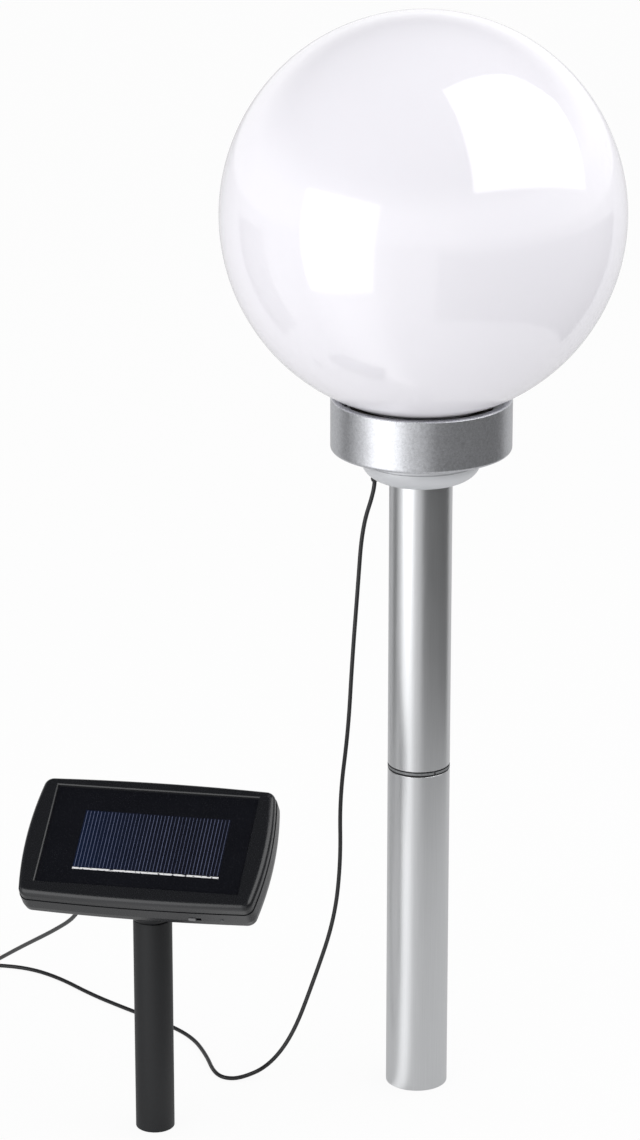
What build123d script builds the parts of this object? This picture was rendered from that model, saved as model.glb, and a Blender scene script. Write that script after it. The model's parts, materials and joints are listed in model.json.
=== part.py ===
"""Garden globe light on a two-piece pole, with its solar panel on a stake of its own.

Millimetres, +Z up. The origin is the centre of the pole's open lower end, at the ground.
The photograph's camera looks along +Y, so -Y is the front and +X is to the right.
Every piece is one node, written to parts/NODE.step.
"""

from build123d import *
import math
import os

# ---------------------------------------------------------------- driving sizes: pole
POLE_R = 23.8            # outside of both tubes
POLE_WALL = 1.0
LOWER_TUBE_LENGTH = 262.0
UPPER_TUBE_LENGTH = 244.0
TUBE_END_ROUND = 0.5     # the rolled edge of each tube end
FOOT_ROUND = 0.4         # the lower tube's thinner open end
SPIKE_SEAT_R = 23.1      # the lower end is opened out to take a ground spike
SPIKE_SEAT_DEPTH = 60.0
BAND_HEIGHT = 4.0        # the split ring between the tubes
BAND_SLIT = 1.6
BAND_RECESS = 0.5        # depth of the grooves above and below the ring
BAND_LOW_GROOVE = 1.0    # their heights
BAND_HIGH_GROOVE = 0.6
BAND_SLIT_ANGLE = -60.6  # seen right of the middle from the front
COUPLER_REACH = 45.0     # how far the coupler goes into each tube
COUPLER_WALL = 1.8

# ---------------------------------------------------------------- driving sizes: lamp
DISH_OVERLAP = 17.0      # how far the dish's sleeve comes down over the upper tube
DISH_R = 45.0
DISH_NECK_R = 25.3
DISH_CURVE = 15.0        # height of the dish's rounded flank
DISH_HEIGHT = 23.6
DISH_GROOVE = 1.0        # height of the groove where the dish's flank turns in
DISH_GROOVE_DEPTH = 0.8
DISH_WALL = 2.4
DISH_SLEEVE_WALL = 3.0
DISH_STOP = 2.6          # web that the tube's end stops against
DISH_STOP_BORE_R = 15.0
COLLAR_R = 68.0
COLLAR_HEIGHT = 40.2
COLLAR_WALL = 1.4
COLLAR_LIP = 7.0         # turned in under the base
COLLAR_ROUND = 2.6
RIM_ROUND = 1.2          # the outer edge of the collar's rim
BASE_FLOOR = 3.0
BASE_WALL = 2.2
RING_BELOW_RIM = 6.65    # the seat ring lies this far below the collar's rim
RING_LIP = 3.4           # its lip, which stands up to the rim just inside the collar
RING_FLANGE = 2.0
RING_DEPTH = 16.0        # total height of the seat ring
RING_BODY_WALL = 6.0
GLOBE_R = 150.0
GLOBE_WALL = 2.5
NECK_ROOT_BELOW_RIM = 4.62   # the ball meets its neck this far under the collar's rim
NECK_R = 46.0
NECK_LENGTH = 18.0
NECK_CLEARANCE = 0.7
LUG_COUNT = 3
LUG_REACH = 3.0
LUG_WIDTH = 20.0
LUG_HEIGHT = 4.0
LUG_PLAY = 0.4
GROOVE_PLAY = 0.8
SLOT_PLAY = 0.5
LUG_SIDE_PLAY = 3.0      # degrees, from a lug to its stop
LUG_STOP_ANGLE = 3.0     # degrees that a stop takes of the groove
LUG_OVER_END = 1.0       # the lugs stand this far over the neck's end
UNLOCK_TURN = 35.0       # the globe turns this far to free its lugs
GASKET_WIDTH = 3.6
GASKET_INSET = 0.4       # from the ring's groove out to the gasket
GASKET_GAP = 0.3         # from the gasket up to the globe
GASKET_ROUND = 0.6
BOARD_R = 30.0
BOARD_THICK = 1.6
BOARD_LIFT = 9.8         # the LED board's underside over the base floor
POST_R = 3.5
BOARD_POST_CIRCLE = 24.0
REFLECTOR_R = 43.0
REFLECTOR_THICK = 1.2
REFLECTOR_OVER_BOARD = 2.0
REFLECTOR_POST_CIRCLE = 37.5
LED_COUNT = 4
LED_CIRCLE = 14.0
LED_START = 45.0         # bearing of the first LED
LED_SIZE = 5.0
LED_HEIGHT = 1.6
LED_WINDOW_R = 4.6
RING_SCREW_CIRCLE = 58.0
RING_POST_R = 4.2
DISH_SCREW_CIRCLE = 34.0
DISH_POST_R = 4.2
LEAD_HOLE_R = 3.0

# ---------------------------------------------------------------- driving sizes: screws
SCREW_R = 1.4
SCREW_HEAD_R = 2.8
SCREW_HEAD_HEIGHT = 1.8
SCREW_BITE = 7.0
SCREW_TIP = 1.0          # a screw ends this far before its hole
SCREW_COUNT = 3          # in each circle of the lamp
DISH_SCREW_ANGLE = 0.0
BOARD_SCREW_ANGLE = 30.0
RING_SCREW_ANGLE = 60.0
REFLECTOR_SCREW_ANGLE = 90.0

# ---------------------------------------------------------------- driving sizes: cord
CORD_R = 1.6
LAMP_GLAND = (-34.5, 15.7)     # where the cord leaves the dish
LAMP_GLAND_R = 3.4
LAMP_GLAND_SHOULDER = 1.0      # its taper starts this far over the dish's lower face
LAMP_GLAND_REACH = 7.0         # its tip is this far under the dish's lower face
GLAND_FLANGE = 1.5
GLAND_FLANGE_REACH = 1.0
GLAND_TIP_R = 2.4
LEAD_R = 1.1
LEAD_CORNER = 2.4
LAMP_LEAD_END = (-8.0, 19.0)   # where the lead meets the LED board
CORNER_SHARE = 0.45            # of a run's length, which its corner's arc may take
PANEL_APPROACH = 24.0          # the last run comes straight into the panel's gland
COIL_MIDDLE = (-433.0, 190.0)
COIL_IN_R = 13.0
COIL_PITCH = 3.75
COIL_TURNS = 3                 # turns in each of the two layers
COIL_LIFT = 0.9                # the tie passes under the coil
COIL_SAMPLES = 520             # points along the coil, to measure its gap to itself
COIL_NEARBY = 8                # points closer along the cord than this many radii don't count
TIE_THICK = 0.6
TIE_WIDTH = 4.0
TIE_PLAY = 0.3
TIE_ROUND = 1.2
TIE_INNER_ROUND = 0.6

# ---------------------------------------------------------------- driving sizes: stake and its head
STAKE_X = -201.8
STAKE_Y = -82.9
STAKE_R = 14.8
STAKE_WALL = 1.8
STAKE_LENGTH = 172.0
STAKE_SEAT_R = 13.2
STAKE_SEAT_DEPTH = 45.0
STAKE_END_ROUND = 0.8
HEAD_YAW = -13.95        # the panel faces a little to the left
HEAD_LEAN = 1.5          # the head leans in the slack of its spigot
HEAD_FLANGE_R = 18.0
HEAD_FLANGE = 6.0
HEAD_CHAMFER = 3.4
HEAD_ROUND = 1.0
HEAD_SPIGOT = 20.0
SPIGOT_WALL = 2.0
SPIGOT_ROOF = 2.0        # the spigot's hollow ends this far under the flange
HEAD_SLACK = 0.6
PIVOT_RISE = 27.0        # the tilt axis over the stake's top
EAR_R = 9.0
EAR_THICK = 5.0
EAR_GAP = 0.3            # each side of the tongue
TONGUE_WIDTH = 11.0
BOLT_R = 2.5
BOLT_CLEARANCE = 0.05
BOLT_HEAD_R = 5.2
BOLT_HEAD = 3.4
BOLT_HEAD_ROUND = 1.4
WASHER_R = 6.2
WASHER = 1.0
NUT_HUB_R = 4.6
NUT_LENGTH = 7.0
WING_REACH = 11.0
WING_THICK = 2.2
WING_TAIL = 1.0          # the wings start this far along the hub and end as far past it
WING_ROUND = 2.4
BOLT_PROUD = 2.5

# ---------------------------------------------------------------- driving sizes: solar panel
PANEL_ELEVATION = 53.4   # how far the panel's face looks up
PANEL_OFFSET = 1.15      # the window's middle from the tilt axis's middle, across
PIVOT_BELOW = 15.8       # the tilt axis below the window's middle, along the panel
PIVOT_BEHIND = 12.1      # the tilt axis behind the housing's back
WINDOW_WIDTH = 157.3
WINDOW_HEIGHT = 84.8
WINDOW_CHAMFER = 0.7
HOUSING_SIDE_RIM = 11.15 # the housing's outline beyond the window, left and right
HOUSING_END_RIM = 9.6    # and above and below
HOUSING_DROP = 2.3       # the housing's middle below the window's middle
SIDE_BULGE = 5.0
END_BOW = 2.0
CORNER_R = 8.0
FACE_PROUD = 2.0         # the bezel's face over the window
BEZEL_DEPTH = 9.0
BEZEL_WALL = 3.2
BEZEL_SETBACK = 0.5      # the bezel's outline inside the shell's
BEZEL_ROUND = 4.6
SEAM = 0.7
SEAM_DEPTH = 1.4
SHELL_LIP = 2.0          # the shell's lip in the bezel starts this far behind the seam
SHELL_WALL = 2.2
SHELL_STRAIGHT = 10.0    # the shell's straight flank behind the seam
SHELL_TAPER = 8.0        # degrees, from the flank's end to the back
SHELL_ROUND = 2.6
HOUSING_DEPTH = 25.0     # from the window to the back
PLATE_RIM = 2.0          # the module reaches this far under the bezel
PLATE_THICK = 2.6
CELL_WIDTH = 113.2
CELL_HEIGHT = 51.6
CELL_SHIFT = (4.2, -3.3)
CELL_THICK = 0.4
FINGER_COUNT = 41
FINGER_WIDTH = 0.35
FINGER_RISE = 0.08
FINGER_MARGIN = 0.5      # from the fingers' upper ends to the cell's edge
BUSBAR_HEIGHT = 1.5
BUSBAR_PIECES = 8
BUSBAR_BREAK = 0.6
BUSBAR_GAP = 0.6         # between the fingers' lower ends and the busbar
GASKET_FRAME = 4.0
GASKET_THICK = 1.8
FRAME_INSET = 0.5        # the shell's inner frame inside the window's edge
FRAME_WALL = 2.0
HOUSING_POST_INSET = (7.5, 14.0)     # from the housing's outline to its screws
HOUSING_POST_R = 4.2
COUNTERBORE_R = 3.1
COUNTERBORE_DEPTH = 5.0

CELL_COUNT = 2
BATTERY_R = 7.1
BATTERY_LENGTH = 48.8
BATTERY_NUB_R = 2.7
BATTERY_NUB = 1.4
BATTERY_PITCH = 14.7
BATTERY_MIDDLE = (-1.15, 21.5)
TRAY_WALL = 1.2
TRAY_END = 4.4           # room for the springs and contact plates at the ends
DOOR_THICK = 2.0
DOOR_GAP = 0.3
DOOR_LEDGE = 1.6
DOOR_TAB = 7.0
DOOR_TAB_GROWTH = 3.0    # the screw tab is this much taller than it reaches out
DOOR_PAD = 2.0           # the shell's floor is thicker this far round the door
DOOR_PAD_THICK = 1.4
DOOR_RIB = 1.2
DOOR_RIB_RISE = 1.6
DOOR_RIB_ROOT = 0.5
DOOR_SCREW_PLAY = 0.05
BAY_PLAY = 0.4
BAY_HEADROOM = 0.5
CELL_LIFT = 0.3          # the cells lie this far over the door
CAN_ROUND = 0.8
CONTACT_SIZE = 9.0
SPRING_RADII = (4.4, 2.6)

CIRCUIT = (66.0, 26.0)
CIRCUIT_MIDDLE = (-4.0, -26.0)
CIRCUIT_LIFT = 3.8
CIRCUIT_POST_INSET = 3.6
CIRCUIT_POST_R = 3.0
CIRCUIT_SCREW_TIP = 0.5  # a board screw ends this far over the shell's floor
CHIP = (8.0, 6.0, 1.6)
CHIP_PLACE = (-6.0, 0.0)       # each from the board's middle
SOCKET = (7.0, 5.0, 5.5)
SOCKET_PLACE = (-20.0, 2.0)
INDUCTOR = (4.0, 5.0)          # radius and height
INDUCTOR_PLACE = (8.0, 4.0)
CAPACITOR = (3.0, 9.0)
CAPACITOR_PLACE = (18.0, -4.0)

SWITCH_X = 45.2
SWITCH_BEHIND = 15.5     # the switch's middle behind the window
SWITCH_SLOT = (10.0, 3.0)
SWITCH_TRAVEL = 4.0
SWITCH_NUB = (5.4, 2.4)
SWITCH_NUB_PROUD = 0.9
SWITCH_NUB_ROUND = 0.4
SWITCH_BODY = (16.0, 5.0, 6.4)
SWITCH_PLAY = 0.15
SWITCH_GAP = 0.8         # from the lower wall to the switch's body
PILOT_X = 66.0
PILOT_R = 1.5
PILOT_PROUD = 0.5
PILOT_ROUND = 0.6

PANEL_GLAND = (-60.0, -18.0)
PANEL_GLAND_R = 4.0
PANEL_GLAND_LENGTH = 16.0
PANEL_LEAD_RISE = 5.0     # over the control board
PANEL_LEAD_END = (-33.0, -22.0)

# ---------------------------------------------------------------- derived heights
POLE_BORE_R = POLE_R - POLE_WALL
BAND_TOP = LOWER_TUBE_LENGTH + BAND_HEIGHT
TUBE_TOP = BAND_TOP + UPPER_TUBE_LENGTH
DISH_BOTTOM = TUBE_TOP - DISH_OVERLAP
COLLAR_BOTTOM = DISH_BOTTOM + DISH_HEIGHT
COLLAR_TOP = COLLAR_BOTTOM + COLLAR_HEIGHT
GLAND_SEAT = DISH_BOTTOM + DISH_CURVE
LAMP_GLAND_TIP = DISH_BOTTOM - LAMP_GLAND_REACH
BASE_R = COLLAR_R - COLLAR_WALL
BASE_TOP_FACE = COLLAR_BOTTOM + BASE_FLOOR
RING_TOP = COLLAR_TOP - RING_BELOW_RIM
RING_UNDERSIDE = RING_TOP - RING_FLANGE
RING_BOTTOM = RING_TOP - RING_DEPTH
NECK_ROOT = COLLAR_TOP - NECK_ROOT_BELOW_RIM
GLOBE_CENTRE = NECK_ROOT + math.sqrt(GLOBE_R**2 - NECK_R**2)
NECK_END = NECK_ROOT - NECK_LENGTH
NECK_HOLE_R = NECK_R - GLOBE_WALL
RING_BORE_R = NECK_R + NECK_CLEARANCE
GROOVE_R = NECK_R + LUG_REACH + GROOVE_PLAY
SLOT_R = NECK_R + LUG_REACH + SLOT_PLAY
RING_BODY_R = RING_BORE_R + RING_BODY_WALL
LUG_HALF_ANGLE = math.degrees(LUG_WIDTH / 2 / NECK_R)
LUG_LOW = NECK_END + LUG_OVER_END
LUG_TOP = LUG_LOW + LUG_HEIGHT
GROOVE_TOP = LUG_TOP + LUG_PLAY
BOARD_LOW = BASE_TOP_FACE + BOARD_LIFT
BOARD_TOP = BOARD_LOW + BOARD_THICK
REFLECTOR_LOW = BOARD_TOP + REFLECTOR_OVER_BOARD
STAKE_BORE_R = STAKE_R - STAKE_WALL
EAR_IN = TONGUE_WIDTH / 2 + EAR_GAP
EAR_OUT = EAR_IN + EAR_THICK
NUT_FACE = EAR_OUT + WASHER
HOUSING_WIDTH = WINDOW_WIDTH + 2 * HOUSING_SIDE_RIM
HOUSING_HEIGHT = WINDOW_HEIGHT + 2 * HOUSING_END_RIM
FACE_Z = FACE_PROUD
BEZEL_BACK = FACE_Z - BEZEL_DEPTH
SHELL_FRONT = BEZEL_BACK - SEAM
SHELL_INNER = -HOUSING_DEPTH + SHELL_WALL
GASKET_BACK = -PLATE_THICK - GASKET_THICK
PAD_TOP = SHELL_INNER + DOOR_PAD_THICK
DOOR_IN = -HOUSING_DEPTH + DOOR_THICK
BAY_ROOF = DOOR_IN + 2 * BATTERY_R + BAY_HEADROOM
CELL_MIDDLE_Z = DOOR_IN + BATTERY_R + CELL_LIFT
PILOT_LENGTH = 3 * SHELL_WALL
CORD_CENTRE = CORD_R     # height of a cord that lies on the ground
COIL_OUT_R = COIL_IN_R + COIL_PITCH * COIL_TURNS
COIL_LOW = CORD_R + COIL_LIFT
COIL_HIGH = COIL_LOW + COIL_PITCH
COIL_TAIL = 2 * CORD_R

CUT = 1.0                # cutters and fused feet run this far past a face
LOW = (Align.CENTER, Align.CENTER, Align.MIN)


# ---------------------------------------------------------------- small helpers
def disc(radius, low, high, x=0.0, y=0.0):
    """An upright cylinder between two heights."""
    return Pos(x, y, low) * Cylinder(radius, high - low, align=LOW)


def tube(outer, inner, low, high, x=0.0, y=0.0):
    """An upright ring between two heights."""
    return disc(outer, low, high, x, y) - disc(inner, low - CUT, high + CUT, x, y)


def block(size_x, size_y, low, high, x=0.0, y=0.0):
    """A box standing between two heights."""
    return Pos(x, y, low) * Box(size_x, size_y, high - low, align=LOW)


def on_circle(radius, count, start=0.0):
    """Points evenly spaced on a circle, as (x, y, angle in degrees)."""
    points = []
    for k in range(count):
        angle = start + 360.0 * k / count
        turn = math.radians(angle)
        points.append((radius * math.cos(turn), radius * math.sin(turn), angle))
    return points


def pan_screw(x, y, seat, bite=SCREW_BITE):
    """An upright screw: its head stands on seat, its shank goes down."""
    return disc(SCREW_HEAD_R, seat, seat + SCREW_HEAD_HEIGHT, x, y) + disc(SCREW_R, seat - bite, seat, x, y)


def together(shapes):
    """Separate solids as one compound."""
    solids = []
    for shape in shapes:
        solids.extend(shape.solids())
    return Compound(children=solids)


# ---------------------------------------------------------------- frames of the head and the panel
def head_frame():
    """At the top of the stake: x along the tilt axis, z up the head, leaning in its slack."""
    yaw = math.radians(HEAD_YAW)
    lean = math.radians(HEAD_LEAN)
    x_dir = Vector(math.cos(yaw) * math.cos(lean), math.sin(yaw) * math.cos(lean), math.sin(lean))
    y_dir = Vector(-math.sin(yaw), math.cos(yaw), 0)
    rise = STAKE_R * math.sin(lean)
    origin = Vector(STAKE_X, STAKE_Y, STAKE_LENGTH + rise)
    return Plane(origin=origin, x_dir=x_dir, z_dir=x_dir.cross(y_dir))


HEAD = head_frame()
PIVOT = HEAD.origin + HEAD.z_dir * PIVOT_RISE


def panel_frame():
    """At the middle of the window: x across, y up the panel, z out of its face."""
    up = math.radians(PANEL_ELEVATION)
    z_dir = HEAD.z_dir * math.sin(up) - HEAD.y_dir * math.cos(up)
    y_dir = z_dir.cross(HEAD.x_dir)
    origin = PIVOT + z_dir * (HOUSING_DEPTH + PIVOT_BEHIND) + y_dir * PIVOT_BELOW
    return Plane(origin=origin + HEAD.x_dir * PANEL_OFFSET, x_dir=HEAD.x_dir, z_dir=z_dir)


PANEL = panel_frame()
TONGUE = (-PANEL_OFFSET, -PIVOT_BELOW, -HOUSING_DEPTH - PIVOT_BEHIND)   # the pivot, in the panel's frame


def at_head(shape):
    return HEAD.location * shape


def at_panel(shape):
    return PANEL.location * shape


# ---------------------------------------------------------------- pole
def round_tube(body, low_round, high_round):
    """Rounds the outer edge of each end of an upright tube."""
    low = body.edges().filter_by(GeomType.CIRCLE).group_by(Axis.Z)[0].sort_by(SortBy.RADIUS)[-1]
    body = fillet(low, low_round)
    high = body.edges().filter_by(GeomType.CIRCLE).group_by(Axis.Z)[-1].sort_by(SortBy.RADIUS)[-1]
    return fillet(high, high_round)


def lower_tube():
    body = tube(POLE_R, POLE_BORE_R, 0, LOWER_TUBE_LENGTH) - disc(SPIKE_SEAT_R, -CUT, SPIKE_SEAT_DEPTH)
    return round_tube(body, FOOT_ROUND, TUBE_END_ROUND)


def upper_tube():
    return round_tube(tube(POLE_R, POLE_BORE_R, BAND_TOP, TUBE_TOP), TUBE_END_ROUND, TUBE_END_ROUND)


def pole_coupler():
    low = LOWER_TUBE_LENGTH - COUPLER_REACH
    high = BAND_TOP + COUPLER_REACH
    return tube(POLE_BORE_R, POLE_BORE_R - COUPLER_WALL, low, high)


def split_band():
    ring = tube(POLE_R, POLE_BORE_R, LOWER_TUBE_LENGTH + BAND_LOW_GROOVE, BAND_TOP - BAND_HIGH_GROOVE)
    ring += tube(POLE_R - BAND_RECESS, POLE_BORE_R, LOWER_TUBE_LENGTH, BAND_TOP)
    cut = block(4 * POLE_WALL, BAND_SLIT, LOWER_TUBE_LENGTH - CUT, BAND_TOP + CUT, POLE_R - POLE_WALL / 2)
    return ring - Rot(0, 0, BAND_SLIT_ANGLE) * cut


# ---------------------------------------------------------------- lamp base
def dish_body(inset, inner_r):
    """A bowl of revolution whose wall is moved in by inset, with a straight bore."""
    with BuildPart() as bowl:
        with BuildSketch(Plane.XZ):
            with BuildLine():
                low = DISH_BOTTOM + inset
                middle = DISH_BOTTOM + DISH_CURVE
                top = COLLAR_BOTTOM
                outer_r = DISH_R - inset
                EllipticalCenterArc(
                    (DISH_NECK_R, middle),
                    outer_r - DISH_NECK_R,
                    DISH_CURVE - inset,
                    start_angle=270,
                    arc_size=90,
                )
                Polyline(
                    (outer_r, middle),
                    (outer_r, top),
                    (inner_r, top),
                    (inner_r, low),
                    (DISH_NECK_R, low),
                )
            make_face()
        revolve(axis=Axis.Z)
    return bowl.part


def pole_dish():
    sleeve_r = POLE_R + DISH_SLEEVE_WALL
    body = dish_body(0, POLE_R)
    body -= dish_body(DISH_WALL, POLE_R) - disc(sleeve_r, DISH_BOTTOM - CUT, COLLAR_BOTTOM + CUT)
    body += tube(sleeve_r, DISH_STOP_BORE_R, TUBE_TOP, TUBE_TOP + DISH_STOP)
    outside = dish_body(0, POLE_R)
    for x, y, _ in on_circle(DISH_SCREW_CIRCLE, SCREW_COUNT, DISH_SCREW_ANGLE):
        body += disc(DISH_POST_R, DISH_BOTTOM, COLLAR_BOTTOM, x, y) & outside
    boss = disc(LAMP_GLAND_R + DISH_WALL, DISH_BOTTOM, GLAND_SEAT, *LAMP_GLAND)
    body += boss & outside
    body -= disc(LAMP_GLAND_R, DISH_BOTTOM - CUT, GLAND_SEAT + CUT, *LAMP_GLAND)
    for x, y, _ in on_circle(DISH_SCREW_CIRCLE, SCREW_COUNT, DISH_SCREW_ANGLE):
        body -= disc(SCREW_R, COLLAR_BOTTOM - SCREW_BITE, COLLAR_BOTTOM + CUT, x, y)
    groove_r = DISH_R - DISH_GROOVE_DEPTH
    return body - tube(DISH_R + CUT, groove_r, GLAND_SEAT, GLAND_SEAT + DISH_GROOVE)


def lamp_gland():
    x, y = LAMP_GLAND
    top = GLAND_SEAT
    shoulder = DISH_BOTTOM + LAMP_GLAND_SHOULDER
    taper = Cone(GLAND_TIP_R, LAMP_GLAND_R, shoulder - LAMP_GLAND_TIP, align=LOW)
    taper = Pos(x, y, LAMP_GLAND_TIP) * taper
    flange = disc(LAMP_GLAND_R + GLAND_FLANGE_REACH, top, top + GLAND_FLANGE, x, y)
    return taper + disc(LAMP_GLAND_R, shoulder, top, x, y) + flange


def collar():
    body = disc(COLLAR_R, COLLAR_BOTTOM, COLLAR_TOP)
    low = body.edges().group_by(Axis.Z)[0]
    body = fillet(low, COLLAR_ROUND)
    hollow = disc(BASE_R, COLLAR_BOTTOM + COLLAR_WALL, COLLAR_TOP + CUT)
    low = hollow.edges().filter_by(GeomType.CIRCLE).group_by(Axis.Z)[0]
    hollow = fillet(low, COLLAR_ROUND - COLLAR_WALL)
    body -= hollow
    body -= disc(COLLAR_R - COLLAR_LIP, COLLAR_BOTTOM - CUT, COLLAR_TOP)
    rim = body.edges().filter_by(GeomType.CIRCLE).group_by(Axis.Z)[-1].sort_by(SortBy.RADIUS)[-1]
    return fillet(rim, RIM_ROUND)


def base_posts():
    """Posts on the base floor as (x, y, radius, top)."""
    posts = []
    for x, y, _ in on_circle(BOARD_POST_CIRCLE, SCREW_COUNT, BOARD_SCREW_ANGLE):
        posts.append((x, y, POST_R, BOARD_LOW))
    for x, y, _ in on_circle(REFLECTOR_POST_CIRCLE, SCREW_COUNT, REFLECTOR_SCREW_ANGLE):
        posts.append((x, y, POST_R, REFLECTOR_LOW))
    for x, y, _ in on_circle(RING_SCREW_CIRCLE, SCREW_COUNT, RING_SCREW_ANGLE):
        posts.append((x, y, RING_POST_R, RING_UNDERSIDE))
    return posts


def lamp_base():
    lip_top = COLLAR_BOTTOM + COLLAR_WALL
    outside = disc(BASE_R, lip_top, RING_UNDERSIDE)
    low = outside.edges().filter_by(GeomType.CIRCLE).group_by(Axis.Z)[0]
    body = fillet(low, COLLAR_ROUND - COLLAR_WALL)
    body += disc(COLLAR_R - COLLAR_LIP, COLLAR_BOTTOM, lip_top)
    body -= disc(BASE_R - BASE_WALL, BASE_TOP_FACE, RING_UNDERSIDE + CUT)
    inside = disc(BASE_R - BASE_WALL / 2, COLLAR_BOTTOM, RING_UNDERSIDE)
    for x, y, radius, top in base_posts():
        body += disc(radius, BASE_TOP_FACE - CUT, top, x, y) & inside
    for x, y, radius, top in base_posts():
        body -= disc(SCREW_R, top - SCREW_BITE, top + CUT, x, y)
    for x, y, _ in on_circle(DISH_SCREW_CIRCLE, SCREW_COUNT, DISH_SCREW_ANGLE):
        body -= disc(SCREW_R, COLLAR_BOTTOM - CUT, BASE_TOP_FACE + CUT, x, y)
    body -= disc(LEAD_HOLE_R, COLLAR_BOTTOM - CUT, BASE_TOP_FACE + CUT, *LAMP_GLAND)
    return body


def dish_screws():
    seats = on_circle(DISH_SCREW_CIRCLE, SCREW_COUNT, DISH_SCREW_ANGLE)
    bite = BASE_FLOOR + SCREW_BITE - SCREW_TIP
    return together([pan_screw(x, y, BASE_TOP_FACE, bite) for x, y, _ in seats])


def seat_ring():
    """The ring that takes the globe's lugs: a groove under it, with stops, and slots down to it.

    Its lip fills the space between the collar's rim and the globe.
    """
    body = tube(BASE_R, RING_BORE_R, RING_UNDERSIDE, RING_TOP)
    body += tube(BASE_R, BASE_R - RING_LIP, RING_TOP, COLLAR_TOP)
    body += tube(RING_BODY_R, RING_BORE_R, RING_BOTTOM, RING_UNDERSIDE)
    half = LUG_HALF_ANGLE + LUG_SIDE_PLAY
    groove = disc(GROOVE_R, RING_BOTTOM - CUT, GROOVE_TOP)
    for _, _, angle in on_circle(NECK_R, LUG_COUNT):
        stop = angle - half
        groove -= wedge(GROOVE_R + CUT, RING_BOTTOM, GROOVE_TOP + CUT, stop - LUG_STOP_ANGLE, stop)
    body -= groove
    for _, _, angle in on_circle(NECK_R, LUG_COUNT, UNLOCK_TURN):
        body -= wedge(SLOT_R, GROOVE_TOP - LUG_PLAY, RING_TOP + CUT, angle - half, angle + half)
    for x, y, _ in on_circle(RING_SCREW_CIRCLE, SCREW_COUNT, RING_SCREW_ANGLE):
        body -= disc(SCREW_R, RING_UNDERSIDE - CUT, RING_TOP + CUT, x, y)
    return body


def wedge(radius, low, high, start, end):
    """A slice of a disc between two angles in degrees."""
    body = Cylinder(radius, high - low, arc_size=end - start, align=(Align.NONE, Align.NONE, Align.MIN))
    return Pos(0, 0, low) * Rot(0, 0, start) * body


def ring_screws():
    seats = on_circle(RING_SCREW_CIRCLE, SCREW_COUNT, RING_SCREW_ANGLE)
    return together([pan_screw(x, y, RING_TOP) for x, y, _ in seats])


def neck_gasket():
    """A rubber ring on the seat ring, just under the globe."""
    inner = GROOVE_R + GASKET_INSET
    under_globe = GLOBE_CENTRE - math.sqrt(GLOBE_R**2 - inner**2)
    body = tube(inner + GASKET_WIDTH, inner, RING_TOP, under_globe - GASKET_GAP)
    top = body.edges().filter_by(GeomType.CIRCLE).group_by(Axis.Z)[-1]
    return fillet(top, GASKET_ROUND)


def globe():
    ball = Pos(0, 0, GLOBE_CENTRE) * Sphere(GLOBE_R)
    ball -= disc(GLOBE_R, GLOBE_CENTRE - 2 * GLOBE_R, NECK_ROOT)
    body = ball + disc(NECK_R, NECK_END, NECK_ROOT + GLOBE_WALL)
    for _, _, angle in on_circle(NECK_R, LUG_COUNT):
        body += wedge(NECK_R + LUG_REACH, LUG_LOW, LUG_TOP, angle - LUG_HALF_ANGLE, angle + LUG_HALF_ANGLE)
    hollow = Pos(0, 0, GLOBE_CENTRE) * Sphere(GLOBE_R - GLOBE_WALL)
    body -= hollow
    return body - disc(NECK_HOLE_R, NECK_END - CUT, GLOBE_CENTRE)


def led_board():
    body = disc(BOARD_R, BOARD_LOW, BOARD_TOP)
    for x, y, _ in on_circle(BOARD_POST_CIRCLE, SCREW_COUNT, BOARD_SCREW_ANGLE):
        body -= disc(SCREW_R, BOARD_LOW - CUT, BOARD_TOP + CUT, x, y)
    return body


def board_screws():
    seats = on_circle(BOARD_POST_CIRCLE, SCREW_COUNT, BOARD_SCREW_ANGLE)
    return together([pan_screw(x, y, BOARD_TOP, SCREW_BITE) for x, y, _ in seats])


def leds():
    places = on_circle(LED_CIRCLE, LED_COUNT, LED_START)
    chips = [block(LED_SIZE, LED_SIZE, BOARD_TOP, BOARD_TOP + LED_HEIGHT, x, y) for x, y, _ in places]
    return together(chips)


def reflector_plate():
    body = disc(REFLECTOR_R, REFLECTOR_LOW, REFLECTOR_LOW + REFLECTOR_THICK)
    for x, y, _ in on_circle(LED_CIRCLE, LED_COUNT, LED_START):
        body -= disc(LED_WINDOW_R, REFLECTOR_LOW - CUT, REFLECTOR_LOW + 2 * REFLECTOR_THICK, x, y)
    for x, y, _ in on_circle(REFLECTOR_POST_CIRCLE, SCREW_COUNT, REFLECTOR_SCREW_ANGLE):
        body -= disc(SCREW_R, REFLECTOR_LOW - CUT, REFLECTOR_LOW + 2 * REFLECTOR_THICK, x, y)
    return body


def reflector_screws():
    seats = on_circle(REFLECTOR_POST_CIRCLE, SCREW_COUNT, REFLECTOR_SCREW_ANGLE)
    top = REFLECTOR_LOW + REFLECTOR_THICK
    return together([pan_screw(x, y, top, SCREW_BITE) for x, y, _ in seats])


def lead(points):
    """A thin wire along straight runs with rounded corners."""
    path = FilletPolyline(*points, radius=LEAD_CORNER)
    start = Plane(origin=path @ 0, z_dir=path % 0)
    return sweep(start * Circle(LEAD_R), path)


def lamp_lead():
    x, y = LAMP_GLAND
    low = GLAND_SEAT + GLAND_FLANGE
    high = BASE_TOP_FACE + BOARD_LIFT / 2
    end_x, end_y = LAMP_LEAD_END
    return lead([(x, y, low), (x, y, high), (end_x, end_y, high), (end_x, end_y, BOARD_LOW)])


# ---------------------------------------------------------------- stake and tilting head
def panel_stake():
    body = tube(STAKE_R, STAKE_BORE_R, 0, STAKE_LENGTH) - disc(STAKE_SEAT_R, -CUT, STAKE_SEAT_DEPTH)
    return Pos(STAKE_X, STAKE_Y, 0) * round_tube(body, STAKE_END_ROUND, TUBE_END_ROUND)


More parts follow.
